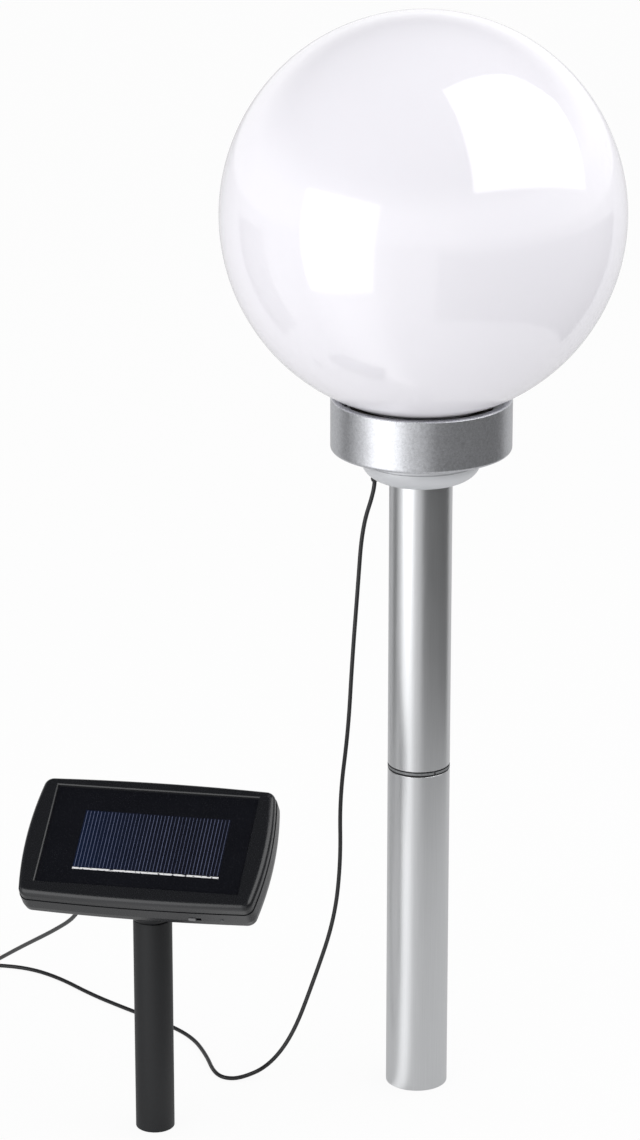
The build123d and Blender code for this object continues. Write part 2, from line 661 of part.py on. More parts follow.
def across(radius, low, high):
    """A cylinder along the tilt axis, between two places on it, in the head's frame."""
    return Pos(low, 0, PIVOT_RISE) * Rot(0, 90, 0) * Cylinder(radius, high - low, align=LOW)


def stake_head():
    flange = disc(HEAD_FLANGE_R, 0, HEAD_FLANGE)
    flange = chamfer(flange.edges().filter_by(GeomType.CIRCLE).group_by(Axis.Z)[0], HEAD_CHAMFER)
    top = flange.edges().filter_by(GeomType.CIRCLE).group_by(Axis.Z)[-1]
    body = fillet(top, HEAD_ROUND)
    spigot_r = STAKE_BORE_R - HEAD_SLACK
    body += disc(spigot_r, -HEAD_SPIGOT, CUT)
    body -= disc(spigot_r - SPIGOT_WALL, -HEAD_SPIGOT - CUT, -SPIGOT_ROOF)
    for side in (-1, 1):
        middle = side * (EAR_IN + EAR_THICK / 2)
        body += block(EAR_THICK, 2 * EAR_R, HEAD_FLANGE / 2, PIVOT_RISE, middle)
        body += across(EAR_R, middle - EAR_THICK / 2, middle + EAR_THICK / 2)
    return at_head(body - across(BOLT_R, -2 * EAR_OUT, 2 * EAR_OUT))


def tilt_bolt():
    head = across(BOLT_HEAD_R, EAR_OUT, EAR_OUT + BOLT_HEAD)
    head = fillet(head.edges().filter_by(GeomType.CIRCLE).group_by(Axis.X)[-1], BOLT_HEAD_ROUND)
    return at_head(head + across(BOLT_R, -NUT_FACE - NUT_LENGTH - BOLT_PROUD, EAR_OUT))


def tilt_washer():
    return at_head(across(WASHER_R, -NUT_FACE, -EAR_OUT) - across(BOLT_R, -NUT_FACE - CUT, -EAR_OUT + CUT))


def wing_nut():
    body = across(NUT_HUB_R, -NUT_FACE - NUT_LENGTH, -NUT_FACE)
    length = NUT_LENGTH + WING_TAIL
    for side in (-1, 1):
        wing = Box(length, WING_REACH - NUT_HUB_R / 2, WING_THICK)
        wing = fillet(wing.edges().filter_by(Axis.Z), WING_ROUND)
        reach = (WING_REACH + NUT_HUB_R / 2) / 2
        body += Pos(-NUT_FACE - length / 2 - WING_TAIL, side * reach, PIVOT_RISE) * wing
    return at_head(body - across(BOLT_R + BOLT_CLEARANCE, -2 * NUT_FACE, 0))


# ---------------------------------------------------------------- solar panel, in its own frame
def outline(inset, z):
    """The housing's outline at a height: bulging sides, slightly bowed ends, round corners."""
    x = HOUSING_WIDTH / 2 - inset
    y = HOUSING_HEIGHT / 2 - inset
    sides = [
        ThreePointArc((-x, -y), (0, -y - END_BOW), (x, -y)),
        ThreePointArc((x, -y), (x + SIDE_BULGE, 0), (x, y)),
        ThreePointArc((x, y), (0, y + END_BOW), (-x, y)),
        ThreePointArc((-x, y), (-x - SIDE_BULGE, 0), (-x, -y)),
    ]
    face = make_face(sides)
    face = fillet(face.vertices(), CORNER_R - inset)
    return Pos(0, -HOUSING_DROP, z) * face


def slab(inset, low, high):
    """The housing's outline as a slab between two heights."""
    return extrude(outline(inset, low), amount=high - low)


def posts():
    """The places of the housing's four screws."""
    x = HOUSING_WIDTH / 2 - HOUSING_POST_INSET[0]
    y = HOUSING_HEIGHT / 2 - HOUSING_POST_INSET[1]
    return [(i * x, j * y - HOUSING_DROP) for i in (-1, 1) for j in (-1, 1)]


def panel_bezel():
    outside = slab(BEZEL_SETBACK, BEZEL_BACK, FACE_Z)
    outside = fillet(outside.faces().sort_by(Axis.Z)[-1].edges(), BEZEL_ROUND)
    body = outside - slab(BEZEL_SETBACK + BEZEL_WALL, BEZEL_BACK - CUT, -PLATE_THICK)
    for x, y in posts():
        body += disc(HOUSING_POST_R, BEZEL_BACK, -PLATE_THICK, x, y) & outside
    window = extrude(Pos(0, 0, -1) * Rectangle(WINDOW_WIDTH, WINDOW_HEIGHT), amount=FACE_Z + 2)
    body -= window
    rim = Plane.XY.offset(FACE_Z - WINDOW_CHAMFER)
    wide = Rectangle(WINDOW_WIDTH + 2 * WINDOW_CHAMFER, WINDOW_HEIGHT + 2 * WINDOW_CHAMFER)
    body -= loft([rim * Rectangle(WINDOW_WIDTH, WINDOW_HEIGHT), Plane.XY.offset(FACE_Z) * wide])
    body -= block(WINDOW_WIDTH + 2 * PLATE_RIM, WINDOW_HEIGHT + 2 * PLATE_RIM, -PLATE_THICK, 0)
    for x, y in posts():
        body -= disc(SCREW_R, BEZEL_BACK - CUT, BEZEL_BACK + SCREW_BITE, x, y)
    return at_panel(body)


def door_shape(grow, low, high):
    """The battery door's outline, with its screw tab, between two heights."""
    x, y = BATTERY_MIDDLE
    width, height = bay_size()
    plate = block(width + 2 * DOOR_LEDGE + grow, height + 2 * DOOR_LEDGE + grow, low, high, x, y)
    tab_x, tab_y = door_screw_place()
    tab_height = DOOR_TAB + DOOR_TAB_GROWTH
    tab = block(2 * DOOR_TAB + grow, tab_height + grow, low, high, tab_x - DOOR_TAB / 2, tab_y)
    return plate + tab


def bay_size():
    """Width and height of the battery bay's inside."""
    return BATTERY_LENGTH + 2 * TRAY_END, CELL_COUNT * BATTERY_PITCH + BAY_PLAY


def door_screw_place():
    width, _ = bay_size()
    return BATTERY_MIDDLE[0] + width / 2 + DOOR_LEDGE + DOOR_TAB / 2, BATTERY_MIDDLE[1]


def circuit_posts():
    x, y = CIRCUIT_MIDDLE
    dx = CIRCUIT[0] / 2 - CIRCUIT_POST_INSET
    dy = CIRCUIT[1] / 2 - CIRCUIT_POST_INSET
    return [(x + i * dx, y + j * dy) for i in (-1, 1) for j in (-1, 1)]


def flank_y(x):
    """The outside of the housing's lower flank, across from x, on its straight part."""
    bow = END_BOW * (1 - (2 * x / HOUSING_WIDTH) ** 2)
    return -HOUSING_HEIGHT / 2 - HOUSING_DROP - bow


def switch_place():
    """Middle of the switch's body, which lies just inside the lower wall."""
    return SWITCH_X, flank_y(SWITCH_X) + SHELL_WALL + SWITCH_GAP + SWITCH_BODY[1] / 2, -SWITCH_BEHIND


def through_flank(shape_x, size, z):
    """A cutter through the lower wall."""
    return Pos(shape_x, flank_y(shape_x), z) * Box(size[0], 4 * SHELL_WALL, size[1])


def panel_back_shell():
    step = SHELL_FRONT - SHELL_STRAIGHT
    taper = (step + HOUSING_DEPTH) * math.tan(math.radians(SHELL_TAPER))
    outside = loft([outline(0, step), outline(taper, -HOUSING_DEPTH)])
    outside = fillet(outside.faces().sort_by(Axis.Z)[0].edges(), SHELL_ROUND)
    outside += slab(0, step, SHELL_FRONT)
    inside = loft([outline(SHELL_WALL, step), outline(SHELL_WALL + taper, SHELL_INNER)])
    body = outside - inside - slab(SHELL_WALL, step, SHELL_FRONT + CUT)
    lip_low = SHELL_FRONT - SHELL_LIP
    lip = slab(SEAM_DEPTH, lip_low, BEZEL_BACK)
    body += lip - slab(BEZEL_SETBACK + BEZEL_WALL, lip_low - CUT, BEZEL_BACK + CUT)
    wide, tall = WINDOW_WIDTH - 2 * FRAME_INSET, WINDOW_HEIGHT - 2 * FRAME_INSET
    frame = block(wide, tall, SHELL_INNER - CUT, GASKET_BACK)
    inner_wide, inner_tall = wide - 2 * FRAME_WALL, tall - 2 * FRAME_WALL
    body += frame - block(inner_wide, inner_tall, SHELL_INNER - 2 * CUT, GASKET_BACK + CUT)
    for x, y in posts():
        body += disc(HOUSING_POST_R, SHELL_INNER - CUT, BEZEL_BACK, x, y)
    for x, y in circuit_posts():
        body += disc(CIRCUIT_POST_R, SHELL_INNER - CUT, SHELL_INNER + CIRCUIT_LIFT, x, y)
    width, height = bay_size()
    x, y = BATTERY_MIDDLE
    body += door_shape(2 * DOOR_PAD, SHELL_INNER - CUT, PAD_TOP)
    screw_x, screw_y = door_screw_place()
    body += disc(POST_R, PAD_TOP - CUT, PAD_TOP + SCREW_BITE, screw_x, screw_y)
    body -= door_shape(2 * DOOR_GAP, -HOUSING_DEPTH - CUT, DOOR_IN)
    body -= block(width, height, DOOR_IN - CUT, PAD_TOP + CUT, x, y)
    body -= disc(SCREW_R, DOOR_IN - CUT, DOOR_IN + SCREW_BITE, screw_x, screw_y)
    for x, y in posts():
        body -= disc(COUNTERBORE_R, -HOUSING_DEPTH - CUT, -HOUSING_DEPTH + COUNTERBORE_DEPTH, x, y)
        body -= disc(SCREW_R, -HOUSING_DEPTH, BEZEL_BACK + CUT, x, y)
    for x, y in circuit_posts():
        body -= disc(SCREW_R, SHELL_INNER, SHELL_INNER + CIRCUIT_LIFT + CUT, x, y)
    switch_x, switch_y, switch_z = switch_place()
    shelf_top = switch_z - SWITCH_BODY[2] / 2
    body += block(SWITCH_BODY[0], SWITCH_BODY[1], SHELL_INNER - CUT, shelf_top, switch_x, switch_y)
    body -= through_flank(SWITCH_X, SWITCH_SLOT, -SWITCH_BEHIND)
    pilot = Pos(PILOT_X, flank_y(PILOT_X), -SWITCH_BEHIND)
    body -= pilot * Rot(90, 0, 0) * Cylinder(PILOT_R, 2 * PILOT_LENGTH)
    body -= disc(PANEL_GLAND_R, -HOUSING_DEPTH - CUT, SHELL_INNER + CUT, *PANEL_GLAND)
    body += tongue()
    return at_panel(body)


def tongue():
    """The housing's hinge tongue, which hangs between the head's ears."""
    x, y, z = TONGUE
    body = Pos(x, y, z) * Rot(0, 90, 0) * Cylinder(EAR_R, TONGUE_WIDTH)
    body += block(TONGUE_WIDTH, 2 * EAR_R, z, -HOUSING_DEPTH + SHELL_WALL / 2, x, y)
    return body - Pos(x, y, z) * Rot(0, 90, 0) * Cylinder(BOLT_R + BOLT_CLEARANCE, 2 * TONGUE_WIDTH)


def housing_screws():
    head = -HOUSING_DEPTH + COUNTERBORE_DEPTH
    made = []
    for x, y in posts():
        shank = disc(SCREW_R, head, BEZEL_BACK + SCREW_BITE - SCREW_TIP, x, y)
        made.append(shank + disc(SCREW_HEAD_R, head - SCREW_HEAD_HEIGHT, head, x, y))
    return at_panel(together(made))


def solar_module():
    """The laminated plate, with a shallow bed for the cell."""
    body = block(WINDOW_WIDTH + 2 * PLATE_RIM, WINDOW_HEIGHT + 2 * PLATE_RIM, -PLATE_THICK, 0)
    return at_panel(body - block(CELL_WIDTH, CELL_HEIGHT, -CELL_THICK, CUT, *CELL_SHIFT))


def solar_cell():
    return at_panel(block(CELL_WIDTH, CELL_HEIGHT, -CELL_THICK, 0, *CELL_SHIFT))


def cell_fingers():
    """The printed silver fingers, and the ragged busbar along the cell's lower edge."""
    x, y = CELL_SHIFT
    low = y - CELL_HEIGHT / 2
    finger_low = low + BUSBAR_HEIGHT + BUSBAR_GAP
    length = y + CELL_HEIGHT / 2 - FINGER_MARGIN - finger_low
    pitch = CELL_WIDTH / FINGER_COUNT
    made = []
    for k in range(FINGER_COUNT):
        place = x - CELL_WIDTH / 2 + pitch * (k + 0.5)
        made.append(block(FINGER_WIDTH, length, 0, FINGER_RISE, place, finger_low + length / 2))
    step = CELL_WIDTH / BUSBAR_PIECES
    for k in range(BUSBAR_PIECES):
        place = x - CELL_WIDTH / 2 + step * (k + 0.5)
        middle = low + BUSBAR_HEIGHT / 2
        made.append(block(step - BUSBAR_BREAK, BUSBAR_HEIGHT, 0, FINGER_RISE, place, middle))
    return at_panel(together(made))


def module_gasket():
    wide, tall = WINDOW_WIDTH - 2 * FRAME_INSET, WINDOW_HEIGHT - 2 * FRAME_INSET
    body = block(wide, tall, GASKET_BACK, -PLATE_THICK)
    return at_panel(body - block(wide - 2 * GASKET_FRAME, tall - 2 * GASKET_FRAME, GASKET_BACK - CUT, 0))


def battery_tray():
    width, height = bay_size()
    x, y = BATTERY_MIDDLE
    body = block(width + 2 * TRAY_WALL, height + 2 * TRAY_WALL, PAD_TOP, BAY_ROOF + TRAY_WALL, x, y)
    return at_panel(body - block(width, height, PAD_TOP - CUT, BAY_ROOF, x, y))


def cell_rows():
    """The middle height across the panel of each battery cell, and which way it points."""
    first = BATTERY_MIDDLE[1] - BATTERY_PITCH * (CELL_COUNT - 1) / 2
    return [(first + BATTERY_PITCH * k, 1 if k % 2 else -1) for k in range(CELL_COUNT)]


def lying(radius, low, high, y, z):
    """A cylinder along X."""
    return Pos(low, y, z) * Rot(0, 90, 0) * Cylinder(radius, high - low, align=LOW)


def battery_cells():
    x = BATTERY_MIDDLE[0]
    made = []
    for y, way in cell_rows():
        can = lying(BATTERY_R, x - BATTERY_LENGTH / 2, x + BATTERY_LENGTH / 2, y, CELL_MIDDLE_Z)
        can = fillet(can.edges().filter_by(GeomType.CIRCLE), CAN_ROUND)
        start = x + way * BATTERY_LENGTH / 2
        low, high = sorted((start, start + way * BATTERY_NUB))
        made.append(can + lying(BATTERY_NUB_R, low, high, y, CELL_MIDDLE_Z))
    return at_panel(together(made))


def battery_contacts():
    """A plate at each cell's nub and a conical spring, kept plain, at its other end."""
    x = BATTERY_MIDDLE[0]
    width, _ = bay_size()
    made = []
    for y, way in cell_rows():
        wall = x + way * width / 2
        nub = x + way * (BATTERY_LENGTH / 2 + BATTERY_NUB)
        low, high = sorted((wall, nub))
        plate = Box(high - low, CONTACT_SIZE, CONTACT_SIZE)
        made.append(Pos((low + high) / 2, y, CELL_MIDDLE_Z) * plate)
        wall = x - way * width / 2
        base = x - way * BATTERY_LENGTH / 2
        spring = Cone(*SPRING_RADII, abs(wall - base), align=LOW)
        made.append(Pos(wall, y, CELL_MIDDLE_Z) * Rot(0, 90 * way, 0) * spring)
    return at_panel(together(made))


def battery_door():
    body = door_shape(0, -HOUSING_DEPTH, DOOR_IN)
    width, height = bay_size()
    x, y = BATTERY_MIDDLE
    for side in (-1, 1):
        rib_x = x + side * (width / 2 - DOOR_RIB)
        body += block(DOOR_RIB, height / 2, DOOR_IN - DOOR_RIB_ROOT, DOOR_IN + DOOR_RIB_RISE, rib_x, y)
    screw_x, screw_y = door_screw_place()
    return at_panel(body - disc(SCREW_R, -HOUSING_DEPTH - CUT, DOOR_IN + CUT, screw_x, screw_y))


def door_screw():
    x, y = door_screw_place()
    face = -HOUSING_DEPTH
    body = disc(SCREW_R - DOOR_SCREW_PLAY, face, DOOR_IN + SCREW_BITE - SCREW_TIP, x, y)
    return at_panel(body + disc(SCREW_HEAD_R, face - SCREW_HEAD_HEIGHT, face, x, y))


def control_board():
    low = SHELL_INNER + CIRCUIT_LIFT
    body = block(CIRCUIT[0], CIRCUIT[1], low, low + BOARD_THICK, *CIRCUIT_MIDDLE)
    for x, y in circuit_posts():
        body -= disc(SCREW_R, low - CUT, low + BOARD_THICK + CUT, x, y)
    return at_panel(body)


def board_parts():
    """Chip, plug socket, inductor and capacitor on the control board."""
    x, y = CIRCUIT_MIDDLE
    top = SHELL_INNER + CIRCUIT_LIFT + BOARD_THICK
    made = []
    for (width, depth, height), (dx, dy) in ((CHIP, CHIP_PLACE), (SOCKET, SOCKET_PLACE)):
        made.append(block(width, depth, top, top + height, x + dx, y + dy))
    for (radius, height), (dx, dy) in ((INDUCTOR, INDUCTOR_PLACE), (CAPACITOR, CAPACITOR_PLACE)):
        made.append(disc(radius, top, top + height, x + dx, y + dy))
    return at_panel(together(made))


def control_screws():
    low = SHELL_INNER + CIRCUIT_LIFT + BOARD_THICK
    bite = BOARD_THICK + CIRCUIT_LIFT - CIRCUIT_SCREW_TIP
    return at_panel(together([pan_screw(x, y, low, bite) for x, y in circuit_posts()]))


def switch_body():
    x, y, z = switch_place()
    body = Pos(x, y, z) * Box(*SWITCH_BODY)
    width = SWITCH_NUB[0] + SWITCH_TRAVEL + 2 * SWITCH_PLAY
    height = SWITCH_NUB[1] + 2 * SWITCH_PLAY
    return at_panel(body - Pos(x, y - SWITCH_BODY[1] / 2, z) * Box(width, SWITCH_BODY[1], height))


def switch_slider():
    x, y, z = switch_place()
    back = y - SWITCH_PLAY
    front = flank_y(SWITCH_X) - SWITCH_NUB_PROUD
    body = Box(SWITCH_NUB[0], back - front, SWITCH_NUB[1])
    body = fillet(body.edges().filter_by(Axis.Y), SWITCH_NUB_ROUND)
    return at_panel(Pos(x - SWITCH_TRAVEL / 2, (back + front) / 2, z) * body)


def pilot_lens():
    front = flank_y(PILOT_X) - PILOT_PROUD
    body = Cylinder(PILOT_R, PILOT_LENGTH, align=LOW)
    body = fillet(body.edges().filter_by(GeomType.CIRCLE).group_by(Axis.Z)[-1], PILOT_ROUND)
    return at_panel(Pos(PILOT_X, front + PILOT_LENGTH, -SWITCH_BEHIND) * Rot(90, 0, 0) * body)


def panel_gland():
    x, y = PANEL_GLAND
    back = -HOUSING_DEPTH
    taper = Cone(GLAND_TIP_R, PANEL_GLAND_R, PANEL_GLAND_LENGTH, align=LOW)
    taper = Pos(x, y, back - PANEL_GLAND_LENGTH) * taper
    flange = disc(PANEL_GLAND_R + GLAND_FLANGE_REACH, SHELL_INNER, SHELL_INNER + GLAND_FLANGE, x, y)
    return at_panel(taper + disc(PANEL_GLAND_R, back, SHELL_INNER, x, y) + flange)


def panel_lead():
    x, y = PANEL_GLAND
    low = SHELL_INNER + GLAND_FLANGE
    board = SHELL_INNER + CIRCUIT_LIFT + BOARD_THICK
    high = board + PANEL_LEAD_RISE
    end_x, end_y = PANEL_LEAD_END
    return at_panel(lead([(x, y, low), (x, y, high), (end_x, end_y, high), (end_x, end_y, board)]))


# ---------------------------------------------------------------- cord
# From the lamp's gland down beside the pole, over the ground behind the stake, to the coil.
LAMP_ROUTE = [
    (LAMP_GLAND[0], LAMP_GLAND[1], LAMP_GLAND_TIP),
    (LAMP_GLAND[0], LAMP_GLAND[1], 479.0),
    (-43.7, 20.5, 448.0),
    (-46.9, 22.4, 398.0),
    (-51.0, 21.7, 340.0),
    (-53.8, 20.6, 284.0),
    (-60.4, 19.5, 228.0),
    (-59.4, 18.4, 176.0),
    (-64.4, 17.0, 127.0),
    (-80.7, 15.2, 76.0),
    (-96.9, 12.6, 31.0),
    (-116.0, 7.5, 6.5),
    (-137.6, -4.2, CORD_CENTRE),
    (-151.2, -4.1, CORD_CENTRE),
    (-159.6, 8.6, CORD_CENTRE),
    (-165.6, 37.4, CORD_CENTRE),
    (-176.9, 70.3, CORD_CENTRE),
    (-197.2, 95.7, CORD_CENTRE),
    (-234.4, 128.2, CORD_CENTRE),
    (-262.9, 155.1, CORD_CENTRE),
    (-291.2, 188.5, CORD_CENTRE),
    (-318.3, 208.8, CORD_CENTRE),
    (-350.0, 215.6, CORD_CENTRE),
    (-392.0, COIL_MIDDLE[1] + COIL_OUT_R, COIL_LOW),
    (COIL_MIDDLE[0] + COIL_TAIL, COIL_MIDDLE[1] + COIL_OUT_R, COIL_LOW),
]

# From the coil up to the gland on the panel's back.
PANEL_ROUTE = [
    (COIL_MIDDLE[0] + COIL_TAIL, COIL_MIDDLE[1] - COIL_OUT_R, COIL_HIGH),
    (-412.0, COIL_MIDDLE[1] - COIL_OUT_R, COIL_HIGH),
    (-384.2, 154.6, 16.5),
    (-358.6, 135.3, 31.0),
    (-336.0, 106.0, 54.0),
    (-318.1, 75.0, 76.6),
    (-303.0, 45.0, 96.7),
    (-283.0, 8.0, 122.0),
    (-264.0, -28.0, 148.3),
]


def gland_tip(back):
    """A point on the panel gland's axis, this far beyond its tip."""
    x, y = PANEL_GLAND
    point = PANEL.origin + PANEL.x_dir * x + PANEL.y_dir * y
    return point - PANEL.z_dir * (HOUSING_DEPTH + PANEL_GLAND_LENGTH + back)


def panel_route():
    route = [Vector(*point) for point in PANEL_ROUTE]
    return route + [gland_tip(PANEL_APPROACH), gland_tip(0)]


def corner_radii(route):
    """Each corner as round as its two runs allow."""
    radii = []
    for before, here, after in zip(route, route[1:], route[2:]):
        first = here - before
        second = after - here
        turn = math.radians(first.get_angle(second))
        radii.append(CORNER_SHARE * min(first.length, second.length) / math.tan(turn / 2))
    return radii


def volume_ratio(body, path):
    """The cord's volume against its section times its length."""
    return round(body.volume / (path.length * math.pi * CORD_R**2), 5)


def laid_cord(name, route):
    """A stretch of cord: straight runs joined by tangent arcs."""
    points = [Vector(*point) if not isinstance(point, Vector) else point for point in route]
    radii = corner_radii(points)
    path = FilletPolyline(*points, radius=radii)
    start = Plane(origin=points[0], z_dir=points[1] - points[0])
    body = sweep(start * Circle(CORD_R), path)
    runs = [round((b - a).length, 1) for a, b in zip(points, points[1:])]
    print(name, "runs", runs)
    print(name, "radii", [round(r, 1) for r in radii])
    print(name, "length", round(path.length, 1), "volume ratio", volume_ratio(body, path))
    return body


def half_turn(start_y, low, high, radius, side):
    """Half a turn of the coil, from above its middle to below it (side 1) or back (side -1)."""
    x = COIL_MIDDLE[0]
    start = (x, start_y, low)
    reach = math.hypot(radius, (high - low) / 2)
    middle = (x - side * reach, start_y - side * radius, (low + high) / 2)
    end = (x, start_y - 2 * side * radius, high)
    return ThreePointArc(start, middle, end)


def coil_path():
    """In along the ground by half turns, up through one half turn, and out on top."""
    x, y = COIL_MIDDLE
    radii = [COIL_OUT_R - COIL_PITCH / 2 * k for k in range(2 * COIL_TURNS)]
    turns = [(radius, COIL_LOW, COIL_LOW) for radius in radii]
    turns.append((COIL_IN_R, COIL_LOW, COIL_HIGH))
    turns.extend((radius, COIL_HIGH, COIL_HIGH) for radius in reversed(radii))
    place = y + COIL_OUT_R
    side = 1
    edges = [Line((x + COIL_TAIL, place, COIL_LOW), (x, place, COIL_LOW))]
    for radius, low, high in turns:
        edges.append(half_turn(place, low, high, radius, side))
        place -= 2 * side * radius
        side = -side
    edges.append(Line((x, place, COIL_HIGH), (x + COIL_TAIL, place, COIL_HIGH)))
    return Wire([edge.edge() for edge in edges])


def cord_coil():
    path = coil_path()
    start = Plane(origin=path @ 0, z_dir=path % 0)
    body = sweep(start * Circle(CORD_R), path)
    points = [path @ (k / COIL_SAMPLES) for k in range(COIL_SAMPLES + 1)]
    apart = math.ceil(COIL_NEARBY * CORD_R * COIL_SAMPLES / path.length)
    gap = min((a - b).length for i, a in enumerate(points) for b in points[i + apart:])
    print("cord_coil least gap to itself", round(gap - 2 * CORD_R, 2))
    print("cord_coil length", round(path.length, 1), "volume ratio", volume_ratio(body, path))
    return body


def coil_tie():
    """A flat tie round the coil's turns, on the side away from the cord's two ends."""
    inner = COIL_IN_R - CORD_R - TIE_PLAY
    outer = COIL_OUT_R + CORD_R + TIE_PLAY
    low = COIL_LOW - CORD_R - TIE_PLAY
    high = COIL_HIGH + CORD_R + TIE_PLAY
    middle = -(inner + outer) / 2
    size = outer - inner
    loop = block(size + 2 * TIE_THICK, TIE_WIDTH, low - TIE_THICK, high + TIE_THICK, middle)
    loop = fillet(loop.edges().filter_by(Axis.Y), TIE_ROUND)
    opening = block(size, 2 * TIE_WIDTH, low, high, middle)
    opening = fillet(opening.edges().filter_by(Axis.Y), TIE_INNER_ROUND)
    return Pos(COIL_MIDDLE[0], COIL_MIDDLE[1], 0) * (loop - opening)


def cord_lamp():
    return laid_cord("cord_lamp", LAMP_ROUTE)


def cord_panel():
    return laid_cord("cord_panel", panel_route())


# ---------------------------------------------------------------- the nodes
NODES = [
    lower_tube, upper_tube, pole_coupler, split_band, pole_dish, dish_screws, lamp_gland, collar,
    lamp_base, seat_ring, ring_screws, neck_gasket, globe, led_board, board_screws, leds,
    reflector_plate, reflector_screws, lamp_lead, panel_stake, stake_head, tilt_bolt, tilt_washer,
    wing_nut, panel_bezel, panel_back_shell, housing_screws, solar_module, solar_cell, cell_fingers,
    module_gasket, battery_tray, battery_cells, battery_contacts, battery_door, door_screw,
    control_board, board_parts, control_screws, switch_body, switch_slider, pilot_lens, panel_gland,
    panel_lead, cord_lamp, cord_coil, coil_tie, cord_panel,
]


def build():
    os.makedirs("parts", exist_ok=True)
    for maker in NODES:
        shape = maker()
        shape.label = maker.__name__
        export_step(shape, f"parts/{maker.__name__}.step")


if __name__ == "__main__":
    build()
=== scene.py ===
"""Garden globe light: finishes, cord, fine pieces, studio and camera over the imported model."""

import json
import math

import bmesh
import bpy
from bpy.props import FloatProperty, FloatVectorProperty, IntProperty, PointerProperty
from mathutils import Matrix, Vector


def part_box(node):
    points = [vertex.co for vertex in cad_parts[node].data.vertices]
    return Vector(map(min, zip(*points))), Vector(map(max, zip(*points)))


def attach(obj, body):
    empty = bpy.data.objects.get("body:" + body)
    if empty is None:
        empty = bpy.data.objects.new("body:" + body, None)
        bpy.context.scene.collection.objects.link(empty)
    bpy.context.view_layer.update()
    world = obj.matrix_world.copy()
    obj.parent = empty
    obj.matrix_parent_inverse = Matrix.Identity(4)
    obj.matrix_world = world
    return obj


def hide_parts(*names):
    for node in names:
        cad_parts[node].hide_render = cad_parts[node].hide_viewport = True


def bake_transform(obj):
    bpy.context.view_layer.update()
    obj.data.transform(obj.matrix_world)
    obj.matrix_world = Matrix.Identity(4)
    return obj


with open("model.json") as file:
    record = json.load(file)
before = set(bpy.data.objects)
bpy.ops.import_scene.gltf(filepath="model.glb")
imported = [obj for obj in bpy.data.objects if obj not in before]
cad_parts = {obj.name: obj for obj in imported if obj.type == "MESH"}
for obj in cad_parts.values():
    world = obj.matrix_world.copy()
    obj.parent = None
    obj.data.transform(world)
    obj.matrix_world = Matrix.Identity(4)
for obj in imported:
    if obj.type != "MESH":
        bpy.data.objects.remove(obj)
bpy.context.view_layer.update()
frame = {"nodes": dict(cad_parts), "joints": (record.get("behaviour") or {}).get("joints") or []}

bl_info = {
    "name": "Garden globe light",
    "version": (1, 0, 0),
    "blender": (4, 5, 0),
    "location": "View3D > Sidebar > Garden light",
    "description": "Dresses a garden globe light on a pole with its solar panel and cord",
    "category": "Object",
}

MM = 0.001


# ----- places
# In the panel's own frame, in millimetres: across, up the panel and out of its face.
WINDOW_FROM_PIVOT = (1.15, 15.8, 37.1)
CELL_MIDDLE = (4.2, -3.3, 0.0)
HOUSING_SCREWS = (0.0, -2.3, -20.0)
DOOR_SCREW = (32.75, 21.5, -25.0)
DOOR_RIDGES = (-20.0, 21.5, -25.0)
PANEL_GLAND_FOOT = (-60.0, -18.0, -25.5)
PRINT_CHANGE = (-27.5, -27.2)  # up the panel, from the busbar's finish to the fingers'


def joint(name):
    return next(j for j in frame["joints"] if j["name"] == name)


def panel_frame():
    """The panel's own frame: origin at the window's middle, x across, y up the panel, z out of its face."""
    tilt = joint("panel_tilt")
    x = Vector(tilt["axis"]).normalized()
    z = -Vector(joint("battery_door_off")["axis"]).normalized()
    y = z.cross(x)
    axes = Matrix((x, y, z)).transposed()
    origin = Vector(tilt["pos_m"]) + axes @ Vector(WINDOW_FROM_PIVOT) * MM
    return Matrix.Translation(origin) @ axes.to_4x4()


PANEL = panel_frame()
TURNED_OVER = Matrix.Rotation(math.pi, 4, "X")
GLOBE_LOW, GLOBE_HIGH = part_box("globe")
RIM_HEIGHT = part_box("collar")[1].z
BAND_LOW, BAND_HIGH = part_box("split_band")
CELL_BLUE = (-0.262, -0.175)  # along x in metres, from full blue to none


def on_panel(spot):
    return PANEL @ Matrix.Translation(Vector(spot) * MM)


def add_object(name, data):
    item = bpy.data.objects.new(name, data)
    bpy.context.scene.collection.objects.link(item)
    return item


# ----- colours
WHITE = (1.0, 1.0, 1.0, 1.0)


def tone(*levels):
    """A screen colour from 0 to 255 as Blender's linear colour."""
    shares = [level / 255 for level in levels]
    return tuple(s / 12.92 if s <= 0.04045 else ((s + 0.055) / 1.055) ** 2.4 for s in shares)


# ----- node trees
def node_sum(operation, reflected=False):
    """The method of an operator: it adds a Math node to the socket's tree."""
    def combine(self, other):
        pair = (other, self) if reflected else (self, other)
        return self.graph.math(operation, *pair)
    return combine


class Socket:
    """A node's output that takes part in sums."""

    def __init__(self, graph, node, link):
        self.graph = graph
        self.node = node
        self.link = link

    def out(self, name):
        return Socket(self.graph, self.node, self.node.outputs[name])

    def __neg__(self):
        return self * -1.0

    __add__ = node_sum("ADD")
    __radd__ = node_sum("ADD", reflected=True)
    __sub__ = node_sum("SUBTRACT")
    __rsub__ = node_sum("SUBTRACT", reflected=True)
    __mul__ = node_sum("MULTIPLY")
    __rmul__ = node_sum("MULTIPLY", reflected=True)
    __truediv__ = node_sum("DIVIDE")
    __rtruediv__ = node_sum("DIVIDE", reflected=True)
    __pow__ = node_sum("POWER")


